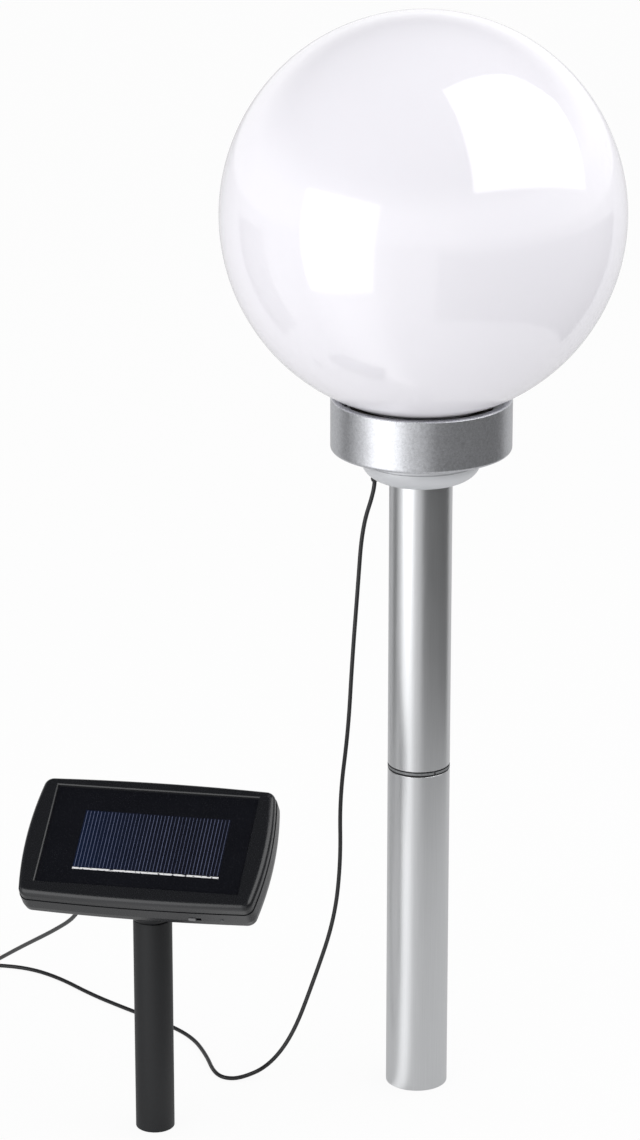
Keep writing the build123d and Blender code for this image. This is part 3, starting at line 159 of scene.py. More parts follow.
class Graph:
    """A node tree that is written as Python."""

    def __init__(self, tree):
        self.tree = tree
        self.tree.nodes.clear()

    def add(self, kind, settings=None, inputs=None, output=0):
        """Adds a node: its settings first, then the values or links of its sockets."""
        node = self.tree.nodes.new(kind)
        for name, value in (settings or {}).items():
            setattr(node, name, value)
        for name, value in (inputs or {}).items():
            for item in value if isinstance(value, list) else [value]:
                if isinstance(item, Socket):
                    self.tree.links.new(item.link, node.inputs[name])
                else:
                    node.inputs[name].default_value = item
        return Socket(self, node, node.outputs[output] if len(node.outputs) else None)

    def math(self, operation, a, b=0.0):
        return self.add("ShaderNodeMath", {"operation": operation}, {0: a, 1: b})

    def vector(self, operation, a, b):
        return self.add("ShaderNodeVectorMath", {"operation": operation}, {0: a, 1: b})

    def blend(self, factor, *colours):
        """Between two colours."""
        a, b = (item if isinstance(item, Socket) else (*item, 1.0) for item in colours)
        return self.add("ShaderNodeMix", {"data_type": "RGBA"}, {0: factor, 6: a, 7: b}, 2)

    def shades(self, factor, colour, *shares):
        """Between a darker and a lighter shade of one colour."""
        return self.blend(factor, *([min(1.0, part * share) for part in colour[:3]] for share in shares))

    def spread(self, value, low, high, to_low=0.0, to_high=1.0):
        """A value from one range as another, kept inside it."""
        return self.add("ShaderNodeMapRange", {}, dict(enumerate((value, low, high, to_low, to_high))))

    def noise(self, place, scale, detail=2.0, roughness=0.5):
        """Noise whose features are about 1/scale metres across."""
        inputs = {"Vector": place, "Scale": scale, "Detail": detail, "Roughness": roughness}
        return self.add("ShaderNodeTexNoise", {}, inputs)

    def parts(self, place):
        split = self.add("ShaderNodeSeparateXYZ", {}, {"Vector": place})
        return split.out("X"), split.out("Y"), split.out("Z")

    def at(self, x=0.0, y=0.0, z=0.0):
        """A place, a size or a turn from its three parts."""
        return self.add("ShaderNodeCombineXYZ", {}, {"X": x, "Y": y, "Z": z})

    def bump(self, height, distance, strength):
        return self.add("ShaderNodeBump", {}, {"Height": height, "Distance": distance, "Strength": strength})


def new_material(name, surface):
    """A material whose surface function adds its nodes and gives the shader."""
    material = bpy.data.materials.new(name)
    material.use_nodes = True
    graph = Graph(material.node_tree)
    graph.add("ShaderNodeOutputMaterial", {}, {"Surface": surface(graph)})
    return material


# ----- finishes
def drawn_aluminium(graph, place, look):
    """Satin tube metal, with fine lines along the tube."""
    lines = graph.noise(graph.vector("MULTIPLY", place, (1.0, 1.0, 0.012)), 1900.0, 4.0, 0.6)
    cloud = graph.noise(place, 22.0)
    return {
        "Base Color": graph.shades(lines, look.pole_colour, 0.9, 1.06),
        "Metallic": 1.0,
        "Roughness": look.pole_roughness - 0.06 + lines * 0.08 + cloud * 0.05,
        "Normal": graph.bump(lines, 0.00002, 0.35),
    }


def flake_paint(graph, place, look):
    """Silver paint with metal flakes, coarser along the collar's rim."""
    _, _, height = graph.parts(place)
    mottle = graph.noise(place, 480.0, 3.0, 0.7)
    flake = graph.spread(graph.noise(place, 1500.0, 1.0), 0.6, 0.72)
    pit = graph.spread(graph.noise(place, 1150.0, 1.0), 0.62, 0.7)
    rim = graph.spread(height, RIM_HEIGHT - 2.0 * MM, RIM_HEIGHT - 0.8 * MM)
    base = graph.shades(mottle, look.collar_colour, 0.6, 1.28)
    bright = graph.blend(flake * (0.35 + rim * 0.5), base, (0.95, 0.95, 0.95))
    return {
        "Base Color": graph.blend(pit * (0.15 + rim * 0.7), bright, (0.08, 0.08, 0.085)),
        "Metallic": 0.93,
        "Roughness": 0.28 + mottle * 0.16,
        "Normal": graph.bump(mottle + flake * 0.4, 0.00006, 0.5),
    }


def satin_paint(graph, place, look):
    """Even silver paint with a faint orange peel."""
    cloud = graph.noise(place, 30.0)
    peel = graph.noise(place, 900.0, 2.0)
    return {
        "Base Color": graph.shades(cloud, look.dish_colour, 0.94, 1.05),
        "Metallic": 0.15,
        "Roughness": 0.36 + peel * 0.08,
        "Normal": graph.bump(peel, 0.00003, 0.4),
    }


def opal_plastic(graph, place, look):
    """Milky plastic with a polished skin and a faint cool cast."""
    cloud = graph.noise(place, 9.0)
    ripple = graph.noise(place, 26.0, 1.0)
    return {
        "Base Color": graph.shades(cloud, look.globe_colour, 0.985, 1.01),
        "Roughness": 0.06 + cloud * 0.03,
        "Normal": graph.bump(ripple, 0.0002, 0.25),
        "Specular IOR Level": 0.8,
        "Subsurface Weight": 0.12,
        "Subsurface Radius": (1.0, 1.0, 1.0),
        "Subsurface Scale": 0.02,
    }


def moulded(colour, roughness, grain=1300.0, depth=0.00003, gloss=0.5):
    """Moulded plastic with a fine spark-eroded grain."""
    def paint(graph, place, look):
        fine = graph.noise(place, grain, 2.0, 0.6)
        cloud = graph.noise(place, 35.0)
        own = getattr(look, colour)[:] if isinstance(colour, str) else colour
        return {
            "Base Color": graph.shades(fine * 0.6 + cloud * 0.4, own, 0.85, 1.18),
            "Specular IOR Level": gloss,
            "Roughness": roughness - 0.05 + fine * 0.1,
            "Normal": graph.bump(fine, depth, 0.6),
        }
    return paint


def metal(colour, roughness):
    """Plated or bare metal, with its polishing marks."""
    def paint(graph, place, look):
        marks = graph.noise(place, 1400.0, 3.0, 0.6)
        return {
            "Base Color": graph.shades(marks, colour, 0.86, 1.1),
            "Metallic": 1.0,
            "Roughness": roughness - 0.05 + marks * 0.12,
            "Normal": graph.bump(marks, 0.00001, 0.4),
        }
    return paint


LOW_PAINTED_SHADE = (1.3, 1.5)  # millimetres over the ring's foot, from painted shade to bare metal
HIGH_PAINTED_SHADE = (0.95, 0.8)  # and under its top, from bare metal to painted shade


def seam_ring(graph, place, look):
    """The ring between the tubes: dull metal, with painted shade in the grooves above and below it."""
    _, _, height = graph.parts(place)
    foot = graph.spread(height, *(BAND_LOW.z + edge * MM for edge in LOW_PAINTED_SHADE))
    top = graph.spread(height, *(BAND_HIGH.z - edge * MM for edge in HIGH_PAINTED_SHADE), 1.0, 0.0)
    # Outside this mask the ring is painted near black: shade painted into the grooves at its foot and top.
    face = foot * top
    speck = graph.noise(place, 900.0, 3.0, 0.6)
    base = graph.blend(speck, (0.08, 0.085, 0.09), (0.4, 0.41, 0.42))
    return {
        # The near-black colour is the painted shade in the grooves.
        "Base Color": graph.blend(face, (0.006, 0.006, 0.007), base),
        "Metallic": face * 0.6,
        "Roughness": 0.7 - face * 0.2,
        "Normal": graph.bump(speck, 0.00008, 0.5),
    }


def laminate(graph, place, look):
    """The black plate under its clear top layer."""
    cloud = graph.noise(place, 40.0)
    dust = graph.spread(graph.noise(place, 2600.0, 1.0), 0.66, 0.74)
    base = graph.shades(cloud, look.plate_colour, 0.8, 1.3)
    return {
        "Base Color": graph.blend(dust * 0.12, base, (0.2, 0.2, 0.22)),
        "Roughness": 0.14 + dust * 0.2 + cloud * 0.04,
        "Normal": graph.bump(cloud, 0.00004, 0.2),
    }


def silicon(graph, place, look):
    """The cell's blue coating, stronger towards its left end, with a faint grain across it."""
    across, _, _ = graph.parts(place)
    left = graph.spread(across, *CELL_BLUE, 1.0, 0.0)
    grain = graph.noise(graph.vector("MULTIPLY", place, (1.0, 0.3, 0.3)), 1200.0, 2.0)
    plain = graph.shades(grain, look.cell_colour, 0.75, 1.25)
    return {
        "Base Color": graph.blend(left ** 1.6 * 0.85, plain, tone(3, 21, 50)),
        "Roughness": 0.24 + grain * 0.08,
        "Normal": graph.bump(grain, 0.00001, 0.3),
    }


def silver_print(graph, place, look):
    """Printed silver: the fingers are thin and dull, the bar below them is thick and bright."""
    from_middle = graph.vector("SUBTRACT", place, tuple(PANEL.translation))
    up = graph.vector("DOT_PRODUCT", from_middle, tuple(PANEL.col[1][:3])).out("Value")
    bar = graph.spread(up, *(edge * MM for edge in PRINT_CHANGE), 1.0, 0.0)
    grain = graph.noise(place, 2500.0)
    thin = graph.blend(grain, (0.095, 0.11, 0.19), (0.125, 0.145, 0.24))
    thick = graph.blend(grain, (0.7, 0.7, 0.72), (0.95, 0.95, 0.95))
    return {
        "Base Color": graph.blend(bar, thin, thick),
        "Metallic": 0.25,
        "Roughness": 0.32 + grain * 0.12,
        "Normal": graph.bump(grain, 0.00001, 0.4),
    }


def circuit_resin(graph, place, look):
    """Solder mask, with paler traces in a grid."""
    x, y, _ = graph.parts(place)
    trace = graph.spread(graph.math("SINE", x * 2400.0) * graph.math("SINE", y * 2100.0), 0.55, 0.6)
    cloud = graph.noise(place, 200.0)
    base = graph.blend(cloud, (0.012, 0.07, 0.03), (0.02, 0.11, 0.05))
    return {
        "Base Color": graph.blend(trace * 0.5, base, (0.06, 0.2, 0.1)),
        "Roughness": 0.32 + cloud * 0.1,
        "Normal": graph.bump(trace, 0.00002, 0.4),
    }


def phosphor(graph, place, look):
    """The yellow cover of an LED."""
    speck = graph.noise(place, 1800.0, 2.0)
    return {
        "Base Color": graph.blend(speck, (0.78, 0.6, 0.14), (0.92, 0.82, 0.4)),
        "Roughness": 0.3 + speck * 0.15,
    }


def sleeve_print(graph, place, look):
    """A battery's shrunk sleeve, with a plain band."""
    x, y, _ = graph.parts(place)
    band = graph.spread(graph.math("SINE", (x + y) * 90.0), 0.1, 0.16)
    cloud = graph.noise(place, 120.0)
    base = graph.blend(band, (0.03, 0.14, 0.07), (0.5, 0.52, 0.5))
    return {
        "Base Color": graph.blend(cloud * 0.15, base, (0.02, 0.02, 0.02)),
        "Metallic": 0.2,
        "Roughness": 0.3 + cloud * 0.1,
        "Normal": graph.bump(cloud, 0.00003, 0.3),
    }


FINISHES = {
    "pole": drawn_aluminium,
    "coupler": moulded((0.08, 0.08, 0.085), 0.45),
    "band": seam_ring,
    "dish": satin_paint,
    "screw": metal((0.6, 0.6, 0.62), 0.3),
    "gland": moulded("cord_colour", 0.5, 900.0),
    "collar": flake_paint,
    "lamp_base": moulded((0.32, 0.31, 0.29), 0.42),
    "gasket": moulded((0.035, 0.028, 0.02), 0.62, 700.0, 0.00004),
    "globe": opal_plastic,
    "led_board": moulded((0.74, 0.74, 0.71), 0.35, 500.0),
    "led": phosphor,
    "reflector": moulded((0.82, 0.82, 0.8), 0.25, 300.0),
    "lead": moulded((0.02, 0.02, 0.022), 0.42, 900.0),
    "stake": moulded("stake_colour", 0.46, 1100.0, 0.00004, 0.28),
    "hardware": metal((0.58, 0.58, 0.6), 0.28),
    "wing_nut": moulded("stake_colour", 0.42, 1200.0),
    "housing": moulded("housing_colour", 0.27, 1500.0, 0.00002),
    "module": laminate,
    "cell": silicon,
    "silver_print": silver_print,
    "tray": moulded((0.06, 0.06, 0.064), 0.45),
    "battery": sleeve_print,
    "contact": metal((0.66, 0.64, 0.58), 0.26),
    "board": circuit_resin,
    "component": moulded((0.02, 0.02, 0.022), 0.4, 1600.0),
    "switch": moulded((0.16, 0.16, 0.165), 0.4, 1400.0),
    "pilot": moulded((0.03, 0.032, 0.036), 0.2, 600.0),
    "cord": moulded("cord_colour", 0.4, 800.0),
    "tie": moulded((0.03, 0.03, 0.033), 0.45, 900.0),
}


def finish(slot):
    """The material of a slot, made once."""
    def coat(graph):
        place = graph.add("ShaderNodeTexCoord").out("Object")
        inputs = FINISHES[slot](graph, place, bpy.context.scene.garden_light_look)
        return graph.add("ShaderNodeBsdfPrincipled", {}, inputs)
    name = "finish_" + slot
    return bpy.data.materials.get(name) or new_material(name, coat)


# ----- pieces made by geometry nodes
SHARP = math.radians(35)  # faces that meet more steeply keep an edge between them


class Pattern(Graph):
    """A tree of geometry nodes with named inputs, which is run once and kept as a plain mesh."""

    def __init__(self, name, lengths, counts):
        super().__init__(bpy.data.node_groups.new(name, "GeometryNodeTree"))
        self.name = name
        self.identifiers = {}
        for kind, labels in (("Float", lengths), ("Int", counts), ("Material", ("finish",))):
            for label in labels:
                item = self.tree.interface.new_socket(label, in_out="INPUT", socket_type="NodeSocket" + kind)
                self.identifiers[label] = item.identifier
        self.tree.interface.new_socket("Geometry", in_out="OUTPUT", socket_type="NodeSocketGeometry")
        given = self.add("NodeGroupInput")
        self.values = [given.out(label) for label in (*lengths, *counts)]
        self.finish = given.out("finish")

    def close(self, geometry):
        """Ends the tree: real geometry with its material."""
        real = self.add("GeometryNodeRealizeInstances", {}, {"Geometry": geometry})
        dressed = self.add("GeometryNodeSetMaterial", {}, {"Geometry": real, "Material": self.finish})
        self.add("NodeGroupOutput", {}, {"Geometry": dressed})
        return self

    def grid(self, width, height, columns, rows):
        return self.add("GeometryNodeMeshGrid", {}, {
            "Size X": width, "Size Y": height, "Vertices X": columns, "Vertices Y": rows,
        })

    def box(self, size):
        return self.add("GeometryNodeMeshCube", {}, {"Size": size})

    def row(self, count, start, step):
        inputs = {"Count": count, "Start Location": start, "Offset": step}
        return self.add("GeometryNodeMeshLine", {}, inputs)

    def circle(self, points, radius):
        return self.add("GeometryNodeCurvePrimitiveCircle", {}, {"Resolution": points, "Radius": radius})

    def moved(self, geometry, spot):
        return self.add("GeometryNodeSetPosition", {}, {"Geometry": geometry, "Position": spot})

    def turned(self, rows, segments, radius, height):
        """A surface of revolution: radius and height are functions of the share along its profile."""
        x, y, _ = self.parts(self.add("GeometryNodeInputPosition"))
        along, turn = x + 0.5, (y + 0.5) * math.tau
        reach = radius(along)
        spot = self.at(reach * self.math("COSINE", turn), reach * self.math("SINE", turn), height(along))
        return self.moved(self.grid(1.0, 1.0, rows, segments), spot)

    def cones(self, segments, *points):
        """The straight stretches of a turned profile, from point to point (radius, height)."""
        def between(low, high):
            return lambda along: low + along * (high - low)
        return [self.turned(2, segments, *map(between, *ends)) for ends in zip(points, points[1:])]

    def joined(self, pieces):
        return self.add("GeometryNodeJoinGeometry", {}, {"Geometry": pieces})

    def welded(self, pieces):
        joined = self.joined(pieces)
        return self.add("GeometryNodeMergeByDistance", {}, {"Geometry": joined, "Distance": 0.00001})

    def placed(self, geometry, spot, turn=(0.0, 0.0, 0.0)):
        inputs = {"Geometry": geometry, "Translation": spot, "Rotation": turn}
        return self.add("GeometryNodeTransform", {}, inputs)

    def repeated(self, points, instance, **inputs):
        inputs.update(Points=points, Instance=instance)
        return self.add("GeometryNodeInstanceOnPoints", {}, inputs)

    def random(self, low, high, seed):
        return self.add("FunctionNodeRandomValue", {}, {2: low, 3: high, "Seed": seed}, 1)

    def made(self, values, body, slot, place=Matrix.Identity(4)):
        """The tree's result as a piece that rides on body."""
        piece = add_object(self.name, bpy.data.meshes.new(self.name))
        modifier = piece.modifiers.new(self.name, "NODES")
        modifier.node_group = self.tree
        for label, value in {**values, "finish": finish(slot)}.items():
            modifier[self.identifiers[label]] = value
        evaluated = piece.evaluated_get(bpy.context.evaluated_depsgraph_get())
        mesh = bpy.data.meshes.new_from_object(evaluated)
        piece.modifiers.clear()
        piece.data = mesh
        tidy_mesh(mesh, place)
        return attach(piece, body)


def tidy_mesh(mesh, place):
    """Outward normals, sharp edges where faces meet steeply, and its place in its vertices."""
    work = bmesh.new()
    work.from_mesh(mesh)
    bmesh.ops.recalc_face_normals(work, faces=work.faces)
    for face in work.faces:
        face.smooth = True
    for edge in work.edges:
        edge.smooth = len(edge.link_faces) == 2 and edge.calc_face_angle(0.0) < SHARP
    work.to_mesh(mesh)
    work.free()
    mesh.transform(place)


GLOBE_SEGMENTS = 129
OUTER_ROWS = 97
INNER_ROWS = 65
LUG_SUNK = 0.5 * MM  # the lugs start this deep in the neck's wall
LUG_OVER_END = 1.0 * MM  # and this far over the neck's end


def globe_pattern():
    """The ball and its neck as one turned shell, with its lugs."""
    tree = Pattern(
        "opal_globe",
        lengths=("radius", "wall", "neck", "neck_end", "lug_width", "lug_reach", "lug_height"),
        counts=("lugs",),
    )
    radius, wall, neck, end, lug_width, lug_reach, lug_height, lugs = tree.values
    middle = GLOBE_HIGH.z - radius

    def ball(rows, ball_radius, opening):
        sweep = math.pi - tree.math("ARCSINE", opening / ball_radius)
        return tree.turned(
            rows, GLOBE_SEGMENTS,
            lambda along: ball_radius * tree.math("SINE", along * sweep),
            lambda along: middle + ball_radius * tree.math("COSINE", along * sweep),
        )

    def root(ball_radius, opening):
        return middle - tree.math("SQRT", ball_radius * ball_radius - opening * opening)

    hole, inner = neck - wall, radius - wall
    throat = tree.cones(
        GLOBE_SEGMENTS, (neck, root(radius, neck)), (neck, end), (hole, end), (hole, root(inner, hole)),
    )
    shell = tree.welded([ball(OUTER_ROWS, radius, neck), *throat, ball(INNER_ROWS, inner, hole)])
    block = tree.add("GeometryNodeMeshCube", {}, {"Vertices X": 2, "Vertices Y": 13, "Vertices Z": 2})
    x, y, z = tree.parts(tree.add("GeometryNodeInputPosition"))
    reach = neck - LUG_SUNK + (x + 0.5) * (lug_reach + LUG_SUNK)
    turn = y * (lug_width / neck)
    lug = tree.moved(block, tree.at(
        reach * tree.math("COSINE", turn), reach * tree.math("SINE", turn),
        end + LUG_OVER_END + (z + 0.5) * lug_height,
    ))
    around = tree.at(z=tree.add("GeometryNodeInputIndex") * (math.tau / lugs))
    ring = tree.repeated(tree.row(lugs, (0.0, 0.0, 0.0), (0.0, 0.0, 0.0)), lug, Rotation=around)
    return tree.close(tree.joined([shell, tree.add("GeometryNodeRealizeInstances", {}, {"Geometry": ring})]))


BUSBAR_GAP = 0.6 * MM  # between the fingers' lower ends and the busbar
FINGER_MARGIN = 0.5 * MM  # from their upper ends to the cell's edge
FINGER_WEAR = (0.75, 1.25)  # the least and the most of a finger's own width
BUSBAR_GRID = (321, 6)
BUSBAR_WEAR = 0.44  # where the busbar's noise is lower, it is torn out


def print_pattern():
    """The cell's fine fingers, and the ragged busbar that they run down to."""
    tree = Pattern(
        "cell_print", lengths=("width", "height", "finger", "busbar", "rise"), counts=("count", "seed"),
    )
    width, height, finger, busbar, rise, count, seed = tree.values
    foot = busbar + BUSBAR_GAP
    length = height - foot - FINGER_MARGIN
    pitch = width / count
    start = tree.at((pitch - width) * 0.5, height * -0.5 + foot + length * 0.5, rise * 0.5)
    slim = tree.at(tree.random(*FINGER_WEAR, seed), 1.0, 1.0)
    strip = tree.box(tree.at(finger, length, rise))
    fingers = tree.repeated(tree.row(count, start, tree.at(pitch)), strip, Scale=slim)

    spot = tree.add("GeometryNodeInputPosition")
    tear = tree.noise(tree.vector("MULTIPLY", spot, (0.5, 1.4, 1.0)), 900.0, 2.0)
    gap = tree.noise(tree.vector("MULTIPLY", spot, (1.0, 0.2, 1.0)), 210.0, 1.0)
    worn = {0: tear * 0.5 + gap * 0.5, 1: BUSBAR_WEAR}
    ragged = tree.add("GeometryNodeDeleteGeometry", {"domain": "FACE"}, {
        "Geometry": tree.grid(width, busbar, *BUSBAR_GRID),
        "Selection": tree.add("FunctionNodeCompare", {"operation": "LESS_THAN"}, worn),
    })
    raised = tree.add("GeometryNodeExtrudeMesh", {"mode": "FACES"}, {
        "Mesh": ragged, "Offset Scale": rise, "Individual": False,
    })
    back = tree.add("GeometryNodeFlipFaces", {}, {"Mesh": ragged})
    bar = tree.placed(tree.welded([raised, back]), tree.at(y=(busbar - height) * 0.5))
    return tree.close(tree.joined([fingers, bar]))


SCREW_SEGMENTS = 33
CROWN_ROWS = 9
CROWN_EDGE = 0.45  # height of a screw head's edge, as a share of the head's height
CROSS_REACH = 1.15  # length of the blade that cuts its cross, as a share of its radius
CROSS_DEPTH = 0.9  # and that blade's height and its middle's, as shares of the head's
CROSS_LIFT = 0.95
TURN_SEED = 5


def screw_pattern(name):
    """Round-headed screws with a cross recess, in rows and columns, heads towards +Z."""
    tree = Pattern(
        name, lengths=("radius", "head", "shank_radius", "shank", "recess", "across", "up"),
        counts=("columns", "rows"),
    )
    radius, head, thin, shank, recess, across, up, columns, rows = tree.values
    crown = tree.turned(
        CROWN_ROWS, SCREW_SEGMENTS,
        lambda along: radius * tree.math("SINE", along * (math.pi / 2)),
        lambda along: head * (CROWN_EDGE + (1 - CROWN_EDGE) * tree.math("COSINE", along * (math.pi / 2))),
    )
    sides = tree.cones(
        SCREW_SEGMENTS,
        (radius, head * CROWN_EDGE), (radius, 0.0), (thin, 0.0), (thin, -shank), (0.0, -shank),
    )
    body = tree.welded([crown, *sides])
    blade = tree.box(tree.at(radius * CROSS_REACH, recess, head * CROSS_DEPTH))
    lift = tree.at(z=head * CROSS_LIFT)
    cross = [tree.placed(blade, lift), tree.placed(blade, lift, (0.0, 0.0, math.pi / 2))]
    cut = tree.add("GeometryNodeMeshBoolean", {"operation": "DIFFERENCE", "solver": "EXACT"}, {
        "Mesh 1": body, "Mesh 2": cross,
    })
    around = tree.at(z=tree.random(0.0, math.pi / 2, TURN_SEED))
    return tree.close(tree.repeated(tree.grid(across, up, columns, rows), cut, Rotation=around))


def rib_pattern(name):
    """Rings round a tapered gland, smaller towards its tip, along +Z."""
    tree = Pattern(name, lengths=("root", "tip", "length", "rib"), counts=("count",))
    root, tip, length, rib, count = tree.values
    step = length / count
    ring = tree.add("GeometryNodeCurveToMesh", {}, {
        "Curve": tree.circle(28, root), "Profile Curve": tree.circle(8, rib),
    })
    share = (tree.add("GeometryNodeInputIndex") + 0.5) / count
    narrow = 1.0 - share * (1.0 - tip / root)
    line = tree.row(count, tree.at(z=step * 0.5), tree.at(z=step))
    return tree.close(tree.repeated(line, ring, Scale=tree.at(narrow, narrow, 1.0)))


def ridge_pattern():
    """Thumb ridges in a row."""
    tree = Pattern("door_ridges", lengths=("pitch", "length", "radius"), counts=("count",))
    pitch, length, radius, count = tree.values
    line = tree.row(count, tree.at((count - 1.0) * pitch * -0.5), tree.at(pitch))
    bead = tree.add("GeometryNodeMeshUVSphere", {}, {"Segments": 12, "Rings": 8, "Radius": 1.0})
    return tree.close(tree.repeated(line, bead, Scale=tree.at(radius, length * 0.5, radius)))


# ----- cord
# In millimetres, as the route's points are.
CORD_LOW = 1.6
COIL_MIDDLE = (-433.0, 190.0)
COIL_IN = 13.0
COIL_PITCH = 3.75
COIL_TURNS = 3
COIL_RADII = [COIL_IN + COIL_PITCH / 2 * k for k in range(2 * COIL_TURNS, 0, -1)]
COIL_LOW = 2.5
COIL_HIGH = 6.25
HALF_TURN_POINTS = 6
CORD_SIDES = 14

# Down from the lamp beside the pole, over the ground and out to the coil.
LAMP_ROUTE = [
    (-34.5, 15.7, 486.0), (-34.5, 15.7, 479.0), (-43.7, 20.5, 448.0), (-46.9, 22.4, 398.0),
    (-51.0, 21.7, 340.0), (-53.8, 20.6, 284.0), (-60.4, 19.5, 228.0), (-59.4, 18.4, 176.0),
    (-64.4, 17.0, 127.0), (-80.7, 15.2, 76.0), (-96.9, 12.6, 31.0), (-116.0, 7.5, 6.5),
    (-137.6, -4.2, CORD_LOW), (-151.2, -4.1, CORD_LOW), (-159.6, 8.6, CORD_LOW),
    (-165.6, 37.4, CORD_LOW), (-176.9, 70.3, CORD_LOW), (-197.2, 95.7, CORD_LOW),
    (-234.4, 128.2, CORD_LOW), (-262.9, 155.1, CORD_LOW), (-291.2, 188.5, CORD_LOW),
    (-318.3, 208.8, CORD_LOW), (-350.0, 215.6, CORD_LOW), (-392.0, 214.25, COIL_LOW),
    (-426.5, 214.25, COIL_LOW),
]

# From the coil up to the gland on the panel's back.
PANEL_ROUTE = [
    (-426.5, 165.75, COIL_HIGH), (-412.0, 165.75, COIL_HIGH), (-384.2, 154.6, 16.5),
    (-358.6, 135.3, 31.0), (-336.0, 106.0, 54.0), (-318.1, 75.0, 76.6), (-303.0, 45.0, 96.7),
    (-283.0, 8.0, 122.0), (-264.0, -28.0, 148.3), (-255.394, -54.267, 174.135),
    (-259.333, -68.033, 193.396),
]
LAMP_GLAND = Vector(LAMP_ROUTE[0]) * MM
LAMP_RIBS_OVER_TIP = 6.6 * MM


def coil_points():
    """Inwards on the ground by half turns, up through the smallest one, and outwards on top."""
    turns = [(radius, COIL_LOW, COIL_LOW) for radius in COIL_RADII]
    turns.append((COIL_IN, COIL_LOW, COIL_HIGH))
    turns.extend((radius, COIL_HIGH, COIL_HIGH) for radius in reversed(COIL_RADII))
    half_step = math.pi / HALF_TURN_POINTS / 2
    start = COIL_MIDDLE[1] + COIL_RADII[0]
    side = 1
    points = []
    for radius, low, high in turns:
        reach = radius / math.cos(half_step)
        middle = start - side * radius
        for k in range(HALF_TURN_POINTS):
            turn = half_step * (2 * k + 1)
            height = low + (high - low) * (k + 0.5) / HALF_TURN_POINTS
            x = COIL_MIDDLE[0] - side * reach * math.sin(turn)
            points.append((x, middle + side * reach * math.cos(turn), height))
        start -= 2 * side * radius
        side = -side
    return points


def cord_line(points):
    """The smooth line that the cord follows, read from a spline with these control points."""
    curve = bpy.data.curves.new("cord_line", "CURVE")
    curve.dimensions = "3D"
    curve.resolution_u = 8
    spline = curve.splines.new("NURBS")
    spline.points.add(len(points) - 1)
    for place, point in zip(spline.points, points):
        place.co = (*(Vector(point) * MM), 1.0)
    spline.order_u = 3
    spline.use_endpoint_u = True
    holder = add_object("cord_line", curve)
    line = bpy.data.meshes.new_from_object(holder)
    route = [vertex.co.copy() for vertex in line.vertices]
    bpy.data.objects.remove(holder)
    bpy.data.curves.remove(curve)
    bpy.data.meshes.remove(line)
    return route


def tube_along(name, route, radius, sides):
    """A round tube with closed ends, without twist, along a line."""
    work = bmesh.new()
    rings = []
    across = None
    for k, point in enumerate(route):
        ahead = (route[min(k + 1, len(route) - 1)] - route[max(k - 1, 0)]).normalized()
        if across is None:
            across = ahead.orthogonal().normalized()
        across = (across - ahead * across.dot(ahead)).normalized()
        other = ahead.cross(across)
        rings.append([
            work.verts.new(point + (across * math.cos(a) + other * math.sin(a)) * radius)
            for a in (math.tau * j / sides for j in range(sides))
        ])
    for low, high in zip(rings, rings[1:]):
        for j in range(sides):
            work.faces.new((low[j], low[(j + 1) % sides], high[(j + 1) % sides], high[j]))
    work.faces.new(list(reversed(rings[0])))
    work.faces.new(rings[-1])
    for face in work.faces:
        face.smooth = len(face.verts) == 4
    mesh = bpy.data.meshes.new(name)
    work.to_mesh(mesh)
    work.free()
    return add_object(name, mesh)


# ----- stage
FLOOR_REACH = 14.0
FLOOR_UNDER = 0.0003  # the floor lies this far under the object
FLOOR_EVEN = 0.8  # how far the floor is an even glow in reflections
GLOW_WAY = (-0.70, -0.714)  # from the pole towards the softbox
GLOW_EDGE = (0.9, 0.995)  # cosines of the angles from there at which the glow ends and is full
ROOM_EDGE = (0.22, 0.5)  # heights at which reflections leave the backdrop and meet the ceiling
CEILING = 0.02
LAMP_TARGET = Vector((0.0, 0.0, 0.6))
SOFTBOX = {"place": (-0.98, -0.87, 0.58), "width": 1.1, "height": 1.15}
TOP_LAMP = {"place": (1.1, 0.05, 1.75), "width": 2.0, "height": 1.6}
SOFTBOX_CORNERS = [
    (-1.409, -0.51, 1.16), (-0.654, -1.424, 1.188), (-0.63, -1.161, 0.01), (-1.186, -0.485, 0.01),
]
TOP_LAMP_CORNERS = [
    (0.266, -0.191, 2.596), (0.837, 0.556, 1.918), (1.184, 0.729, 1.541), (1.848, 0.349, 0.904),
    (1.259, -2.324, 1.834),
]
RIGHT_FLAG = (6.0, 121.0)  # bearings in degrees
LEFT_FLAG = (-116.0, -92.0)
FLAG_REACH = 0.75
FLAG_HEIGHT = 0.62
FLAG_STEPS = 24


def soft_lamp(name, radiance, place, width, height):
    """A soft lamp of a given brightness, turned to the object; reflections don't see it."""
    data = bpy.data.lights.new(name, "AREA")
    data.shape = "RECTANGLE"
    data.size = width
    data.size_y = height
    data.energy = radiance * math.pi * width * height
    lamp = add_object(name, data)
    lamp.location = place
    lamp.rotation_euler = (LAMP_TARGET - Vector(place)).to_track_quat("-Z", "Y").to_euler()
    lamp.visible_camera = False
    lamp.visible_glossy = False


def glow(graph, strength):
    return graph.add("ShaderNodeEmission", {}, {"Color": WHITE, "Strength": strength})


def stage_piece(name, corners, faces, surface):
    mesh = bpy.data.meshes.new(name)
    mesh.from_pydata(corners, [], faces)
    mesh.materials.append(new_material(name, surface))
    piece = add_object(name, mesh)
    return piece


def card(name, corners, brightness, faces=None):
    """A card that only reflections see: the face of a lamp, or a dark flag."""
    faces = faces or [range(len(corners))]
    piece = stage_piece(name, corners, faces, lambda graph: glow(graph, brightness))
    for ray in ("camera", "diffuse", "shadow", "transmission"):
        setattr(piece, "visible_" + ray, False)


